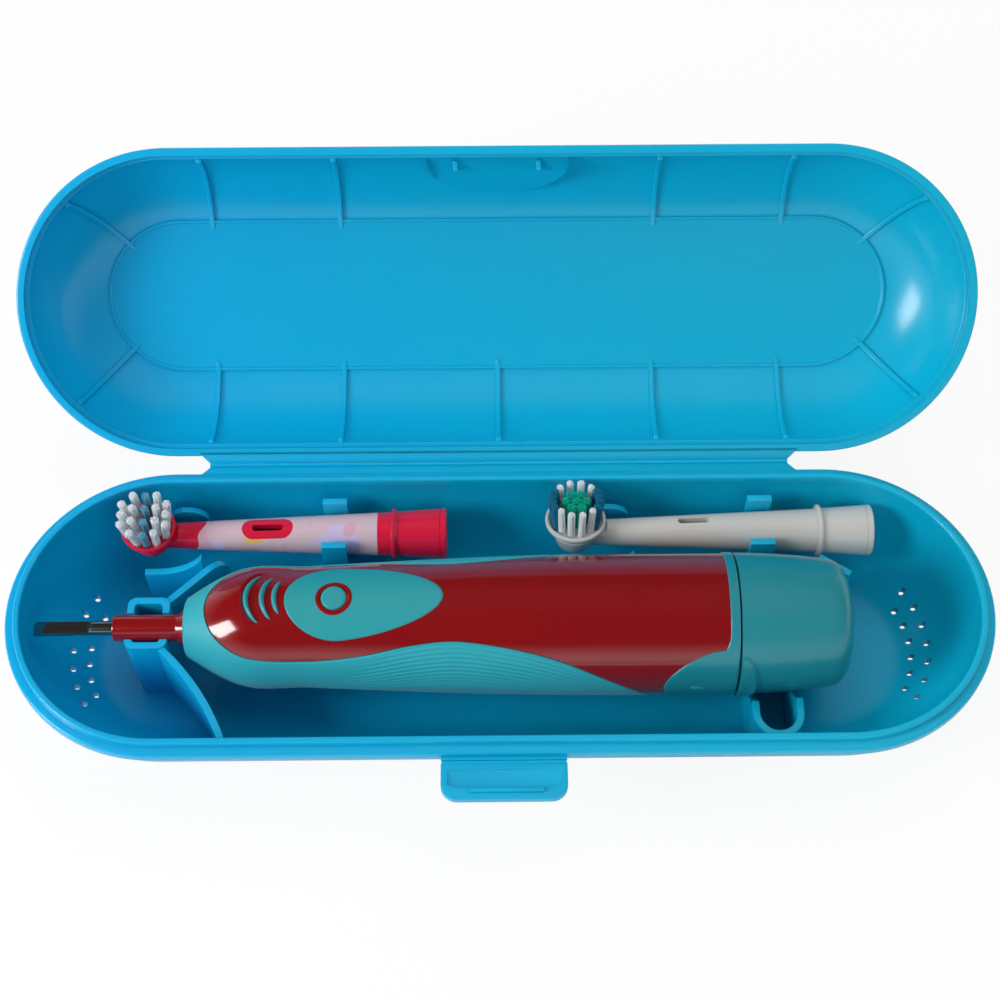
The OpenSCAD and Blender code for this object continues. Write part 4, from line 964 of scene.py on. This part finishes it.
def makeNeck():
    low, high = nodeBox("neck_sleeve")
    neckR, bore = 3.35, 1.88
    mouth, flare = bore + 0.75, neckR + 1.3
    start, end = low.x, noseX + 0.05
    outline = [(start + 1.2, bore), (start + 1.2, mouth), (start + 0.15, mouth), (start, mouth + 0.12)]
    outline += [(start, neckR - 0.35), (start + 0.12, neckR - 0.1), (start + 0.4, neckR)]
    outline += [(noseX - 2.4, neckR), (noseX - 2, neckR + 0.15), (noseX - 0.2, flare - 0.12), (end, flare)]
    outline += [(end, neckR), (high.x, neckR), (high.x, bore)]
    bm = spinRound(outline, "X", 96, closed=True)
    moved(bm, toAxis())
    makePiece("neckSleeve", bm, finish["handleRed"], "toothbrush", "handle_red", ["neck_sleeve"])
    low, high = nodeBox("drive_shaft")
    r = (high.y - low.y) / 2
    rod = spinRound([(low.x, 0), (low.x, r - 0.3), (low.x + 0.3, r), (high.x, r), (high.x, 0)], "X", 64)
    level, slope, start = r - shaftFlat["drop"], shaftFlat["slope"], low.x
    end = start + shaftFlat["long"]
    flat = prism([(start - 1, level - 0.9), (start, level - 0.75), (start + slope, level),
                  (end - slope, level), (end, r + 0.1), (end, r + 2), (start - 1, r + 2)], 6)
    moved(flat, Matrix.Rotation(math.pi / 2, 4, "X"), Matrix.Translation((0, 3, 0)))
    rod = combined(rod, flat, "DIFFERENCE")
    softenEdges(rod, 0.06, 40, 2)
    moved(rod, toAxis())
    return makePiece("driveShaft", rod, finish["shaftSteel"], "shaft", "shaft_steel", ["drive_shaft"])


makeHousing()
makeGrip()
makePanel()
makeButton()
makeThumbRidges()
makeCollar()
makeCover()
makeNeck()
print("handle made")


# the brush heads

headSizes = {
    "length": 76.3,
    "neckR": 3.3,
    "clipR": 5.05,
    "clipAt": 47.6,
    "wrapAt": 13.5,
    "wrapEnd": 58.6,
    "collarAt": 62,
    "endR": 6.6,
    "socketR": 3.45,
    "socketLong": 20,
    "boreR": 2.0,
    "slotAt": 30.4,
    "slotLong": 8,
    "slotWide": 1.7,
    "cupR": 5,
    "cupHigh": 2,
    "rimHigh": 5.4,
    "rimThick": 0.9,
    "rimDeep": 1.0,
}
headJoints = {j["name"]: j for j in frame["joints"]}


def headPlace(joint):  # from the head's own frame, cup in the middle, to its place in the case
    data = headJoints[joint]
    spot, up = Vector(data["pos_m"]) / mm, Vector(data["axis"])
    lean = math.atan2(up.y, up.z)
    return Matrix.Translation(spot) @ Matrix.Rotation(-lean, 4, "X")


def barrelR(x):
    t = (x - 6) / (headSizes["clipAt"] - 6)
    return headSizes["neckR"] + (headSizes["clipR"] - headSizes["neckR"]) * t


def slotPrism(long, wide):
    points = []
    for side, start in ((1, -math.pi / 2), (-1, math.pi / 2)):
        middle = headSizes["slotAt"] + side * (long - wide) / 2
        turns = spread(start, start + math.pi, 16)
        points += [(middle + wide / 2 * math.cos(a), wide / 2 * math.sin(a)) for a in turns]
    return prism(points, 12)


def headBody(discR):
    length, collar = headSizes["length"], headSizes["collarAt"]
    outline = [(-3.6, headSizes["boreR"] - 1.9), (-3.6, 2.2), (-3.2, 2.8), (-2.4, barrelR(0) - 0.1)]
    outline += [(x, barrelR(x)) for x in spread(0, collar, 12)]
    slope = (headSizes["endR"] - barrelR(collar)) / (length - collar)
    groove, end = length - 1.6, headSizes["endR"]
    atGroove = barrelR(collar) + slope * (groove - collar)
    outline += [(groove - 0.12, atGroove), (groove, atGroove - 0.16), (groove + 0.12, atGroove),
                (length - 0.25, end - 0.02), (length, end - 0.25)]
    socket, socketR, boreR = length - headSizes["socketLong"], headSizes["socketR"], headSizes["boreR"]
    outline += [(length, socketR + 0.3), (length - 0.5, socketR), (socket, socketR), (socket, boreR)]
    outline += [(10, boreR), (10, 0.1)]
    barrel = spinRound(outline, "X", 96, closed=True)
    low, top, cup = -headSizes["neckR"] + 0.1, headSizes["cupHigh"], headSizes["cupR"]
    profile = [(low, 0), (low, cup - 1.3), (low + 0.25, cup - 0.5), (low + 1, cup), (0, cup + 0.55),
               (top - 0.3, discR - 1.7), (top, discR - 1.9), (top, 0)]
    cupBody = spinRound(profile, "Z", 96)
    whole = combined(barrel, cupBody, "UNION")
    room, roomR = bmesh.new(), discR + 0.4
    bmesh.ops.create_cone(room, cap_ends=True, segments=96, radius1=roomR, radius2=roomR, depth=10,
                          matrix=Matrix.Translation((0, 0, top + 5.002)))
    whole = combined(whole, room, "DIFFERENCE")
    slot = moved(slotPrism(headSizes["slotLong"], headSizes["slotWide"]), Matrix.Translation((0, 0, 0.5)))
    return combined(whole, slot, "DIFFERENCE")


def headCollar(r):
    at = headSizes["collarAt"]
    inner = barrelR(at)
    outline = [(at, inner - 0.2), (at, inner + 0.1), (at + 0.25, r - 0.35), (at + 0.5, r - 0.05)]
    outline += [(at + 0.75, r), (at + 1.05, r - 0.08), (at + 1.3, r - 0.4), (at + 1.75, inner + 0.25)]
    outline.append((at + 1.8, inner - 0.2))
    return spinRound(outline, "X", 96, closed=True)


def headDisc(discR):
    high, thick, deep, cup = (headSizes[k] for k in ("rimHigh", "rimThick", "rimDeep", "cupHigh"))
    profile = [(-0.9, 0), (-0.9, 1.5), (cup + 0.3, 1.5), (cup + 0.3, discR - 1.9), (cup + 0.6, discR - 1.45)]
    profile += [(high - 1.4, discR - 0.25), (high - 0.9, discR), (high - 0.35, discR)]
    profile += [(high - 0.1, discR - 0.12), (high, discR - 0.35), (high - 0.04, discR - thick + 0.12)]
    profile += [(high - 0.2, discR - thick), (high - deep, discR - thick - 0.05), (high - deep, 0)]
    return spinRound(profile, "Z", 128)


tuftSizes = {"strand": 0.15, "sides": 5}


def tuft(spot, length, radius, lean, count, seed):
    chance = random.Random(seed)
    base = headSizes["rimHigh"] - headSizes["rimDeep"] - 0.3
    bm = bmesh.new()
    tilt = Matrix.Rotation(-lean * spot[1], 4, "X") @ Matrix.Rotation(lean * spot[0], 4, "Y")
    for i in range(count):
        angle, reach = 2.39996 * i, radius * math.sqrt((i + 0.5) / count)
        dome = 0.35 * (reach / radius) ** 2
        tall = length - dome - chance.uniform(0, 0.28)
        fanX = Matrix.Rotation(chance.uniform(-0.012, 0.012), 4, "X")
        fanY = Matrix.Rotation(chance.uniform(-0.012, 0.012), 4, "Y")
        inTuft = Matrix.Translation((reach * math.cos(angle), reach * math.sin(angle), tall / 2))
        at = Matrix.Translation((spot[0], spot[1], base)) @ tilt @ fanX @ fanY @ inTuft
        bmesh.ops.create_cone(bm, cap_ends=True, segments=tuftSizes["sides"], radius1=tuftSizes["strand"],
                              radius2=tuftSizes["strand"] * 0.8, depth=tall, matrix=at)
    return bm


def tuftRow(spots, length, radius, lean, count):
    return joined(*[tuft(spot, length, radius, lean, count, 7 + i) for i, spot in enumerate(spots)])


def arcSpots(count, r, start, end):
    turns = [math.radians(a) for a in spread(start, end, count - 1)]
    return [(r * math.cos(a), r * math.sin(a)) for a in turns]


def makeHead(name, discR, look, slotName):
    place = headPlace(name + "_disc_swing")
    shell = headBody(discR)
    barrel = shell if name == "plain" else joined(shell, headCollar(headSizes["endR"]))
    makePiece(name + "HeadBarrel", moved(barrel, place), finish[look], name + "_head", slotName,
              [name + "_head_shell"])
    makePiece(name + "HeadDisc", moved(headDisc(discR), place), finish[look], name + "_brush", slotName,
              [name + "_disc"])
    return place


smallPlace = makeHead("small", 7, "headRed", "head_red")
plainPlace = makeHead("plain", 7.8, "headWhite", "head_white")
plainCollar = moved(headCollar(headSizes["endR"] + 0.2), plainPlace)
makePiece("plainHeadCollar", plainCollar, finish["headWhite"], "plain_head", "head_white",
          ["plain_head_collar"])


def makeWrap():
    low, high = headSizes["wrapAt"], headSizes["wrapEnd"]
    outline = [(x, barrelR(x) + lift) for x, lift in ((low, -0.2), (low, 0.05), (high, 0.05), (high, -0.2))]
    tube = spinRound(outline, "X", 128, closed=True)
    for v in tube.verts:  # its end towards the cup is cut in a wave
        if v.co.x < low + 0.1:
            angle = math.atan2(v.co.y, v.co.z)
            v.co.x += 1.3 * math.sin(angle) + 0.35 * math.sin(4 * angle)
    window = moved(slotPrism(13.2, 5.6), Matrix.Translation((0, 0, 0.5)))
    tube = combined(tube, window, "DIFFERENCE")
    moved(tube, smallPlace)
    return makePiece("printedWrap", tube, finish["printLilac"], "small_head", "print_lilac",
                     ["small_head_wrap"])


makeWrap()

whiteHalf = [(2.45, y) for y in (-4.3, -1.45, 1.45, 4.3)] + [(4.6, y) for y in (-2.3, 0, 2.3)]
whiteSmall = [(side * x, y) for side in (-1, 1) for x, y in whiteHalf]
blueSmall = [(0, y) for y in (-4.6, -1.55, 1.55, 4.6)]
whitePlain = arcSpots(4, 5.1, 46, 134) + arcSpots(4, 5.1, 226, 314)
bluePlain = arcSpots(4, 5.3, -27, 27) + arcSpots(4, 5.3, 153, 207)
greenPlain = [(0, 0)] + arcSpots(7, 2.3, 0, 360)[:6]
bristles = (  # head, colour, spots, length, radius, lean, strands, finish, slot
    ("small", "white", whiteSmall, 9.2, 1.0, 0.028, 46, "bristleWhite", "bristle_white"),
    ("small", "blue", blueSmall, 8.4, 0.95, 0.028, 40, "bristlePale", "bristle_blue"),
    ("plain", "white", whitePlain, 9.2, 0.85, 0.014, 42, "bristleWhite", "bristle_white"),
    ("plain", "blue", bluePlain, 9.0, 1.05, 0.018, 44, "bristleBlue", "bristle_blue"),
    ("plain", "green", greenPlain, 8.4, 1.25, 0.014, 56, "bristleGreen", "bristle_green"),
)
for head, colour, spots, length, radius, lean, count, look, slotName in bristles:
    rows = moved(tuftRow(spots, length, radius, lean, count), smallPlace if head == "small" else plainPlace)
    makePiece(head + colour.title() + "Tufts", rows, finish[look], head + "_brush", slotName,
              [head + "_" + colour + "_tufts"])
print("brush heads made")


# CAD nodes that stay, with their finishes

keptNodes = {
    "caseBlue": ("hinge_web", "latch_web"),
    "sealRubber": ("shaft_seal",),
    "innerWhite": ("motor_bracket", "motor_pinion", "drive_gear", "rocker_arm"),
    "motorSteel": ("motor_can",),
    "innerDark": ("switch_block", "battery_tray"),
    "contactBrass": ("front_contacts", "cover_contact"),
    "cellWrap": ("battery_1", "battery_2"),
    "shaftSteel": ("small_head_rod", "plain_head_rod"),
}
for look, keptHere in keptNodes.items():
    for node in keptHere:
        mesh = frame["nodes"][node].data
        mesh.materials.clear()
        mesh.materials.append(finish[look])


# floor, light and camera

studio = {
    "floorColour": "f4f4f4",
    "floorWhite": 0.9,  # share of plain white in what the camera sees of the floor
    "ambient": 0.4,
    "ceiling": 0.05,  # how bright shiny things see the room above them; the walls are white
    "lamps": (  # name, place, target, size, power, seen in gloss
        ("overhead", (0.1, 0.25, 0.9), (0, 0, 0), (0.9, 0.7), 2.9, False),
        ("windowLeft", (-0.75, -0.27, 0.47), (0, 0.02, 0.03), (0.3, 0.4), 5.6, True),
        ("fillFront", (0.35, -0.8, 0.5), (0, 0, 0.02), (0.7, 0.4), 1.4, False),
    ),
}


def makeFloor():
    bm = bmesh.new()
    bmesh.ops.create_grid(bm, x_segments=1, y_segments=1, size=3)
    mesh = bpy.data.meshes.new("floor")
    bm.to_mesh(mesh)
    bm.free()
    floor = bpy.data.objects.new("floor", mesh)
    shared.objects.link(floor)
    material, tree, shader = newMaterial("paleFloor")
    links = tree.links
    shader.inputs["Base Color"].default_value = linear(studio["floorColour"])
    shader.inputs["Roughness"].default_value = 0.9
    glow = addNode(tree, "Emission")
    path = addNode(tree, "LightPath")
    share = addNode(tree, "Math", {1: studio["floorWhite"]})
    share.operation = "MULTIPLY"
    mix = addNode(tree, "MixShader")
    links.new(path.outputs["Is Camera Ray"], share.inputs[0])
    links.new(share.outputs[0], mix.inputs[0])
    links.new(shader.outputs[0], mix.inputs[1])
    links.new(glow.outputs[0], mix.inputs[2])
    links.new(mix.outputs[0], tree.nodes["Material Output"].inputs["Surface"])
    mesh.materials.append(material)


def makeRoom():
    world = bpy.data.worlds.new("studio")
    bpy.context.scene.world = world
    world.use_nodes = True
    tree, links = world.node_tree, world.node_tree.links
    back = tree.nodes["Background"]
    back.inputs["Color"].default_value = (1, 1, 1, 1)
    path = addNode(tree, "LightPath")
    either = addNode(tree, "Math")
    either.operation = "MAXIMUM"
    level = addNode(tree, "MapRange", {"To Min": studio["ambient"], "To Max": 1})
    links.new(path.outputs["Is Camera Ray"], either.inputs[0])
    links.new(path.outputs["Is Transmission Ray"], either.inputs[1])
    links.new(either.outputs[0], level.inputs["Value"])
    where = addNode(tree, "TexCoord")
    split = addNode(tree, "SeparateXYZ")
    height = addNode(tree, "MapRange", {"From Min": 0.15, "From Max": 0.5, "To Min": 1,
                                        "To Max": studio["ceiling"]})
    pick = addNode(tree, "Mix")
    links.new(where.outputs["Generated"], split.inputs["Vector"])
    links.new(split.outputs["Z"], height.inputs["Value"])
    links.new(path.outputs["Is Glossy Ray"], pick.inputs[0])
    links.new(level.outputs["Result"], pick.inputs[2])
    links.new(height.outputs["Result"], pick.inputs[3])
    links.new(pick.outputs[0], back.inputs["Strength"])


def makeLamps():
    for name, spot, target, size, power, inGloss in studio["lamps"]:
        data = bpy.data.lights.new(name, "AREA")
        data.shape = "RECTANGLE"
        data.size, data.size_y = size
        data.energy = power
        lamp = bpy.data.objects.new(name, data)
        lamp.visible_glossy = inGloss
        shared.objects.link(lamp)
        lamp.location = spot
        lamp.rotation_euler = (Vector(target) - Vector(spot)).to_track_quat("-Z", "Y").to_euler()


cameraSizes = {"lens": 62.48, "distance": 445.5, "elevation": 59.12, "azimuth": -0.65, "roll": 0.09,
               "target": (0.13, 30.43)}


def makeCamera():
    up, side = math.radians(cameraSizes["elevation"]), math.radians(cameraSizes["azimuth"])
    back = Vector((math.sin(side) * math.cos(up), -math.cos(side) * math.cos(up), math.sin(up)))
    right = (-back).cross(Vector((0, 0, 1))).normalized()
    top = right.cross(-back)
    turn = math.radians(cameraSizes["roll"])
    right, top = math.cos(turn) * right + math.sin(turn) * top, math.cos(turn) * top - math.sin(turn) * right
    target = Vector((*cameraSizes["target"], rimZ))
    data = bpy.data.cameras.new("photoCamera")
    data.lens = cameraSizes["lens"]
    data.clip_start = 0.01
    camera = bpy.data.objects.new("photoCamera", data)
    shared.objects.link(camera)
    place = Matrix((right, top, back)).transposed().to_4x4()
    place.translation = (target + back * cameraSizes["distance"]) * mm
    camera.matrix_world = place
    bpy.context.scene.camera = camera


makeFloor()
makeRoom()
makeLamps()
makeCamera()
bpy.context.scene.view_settings.view_transform = "Standard"
print("stage made")
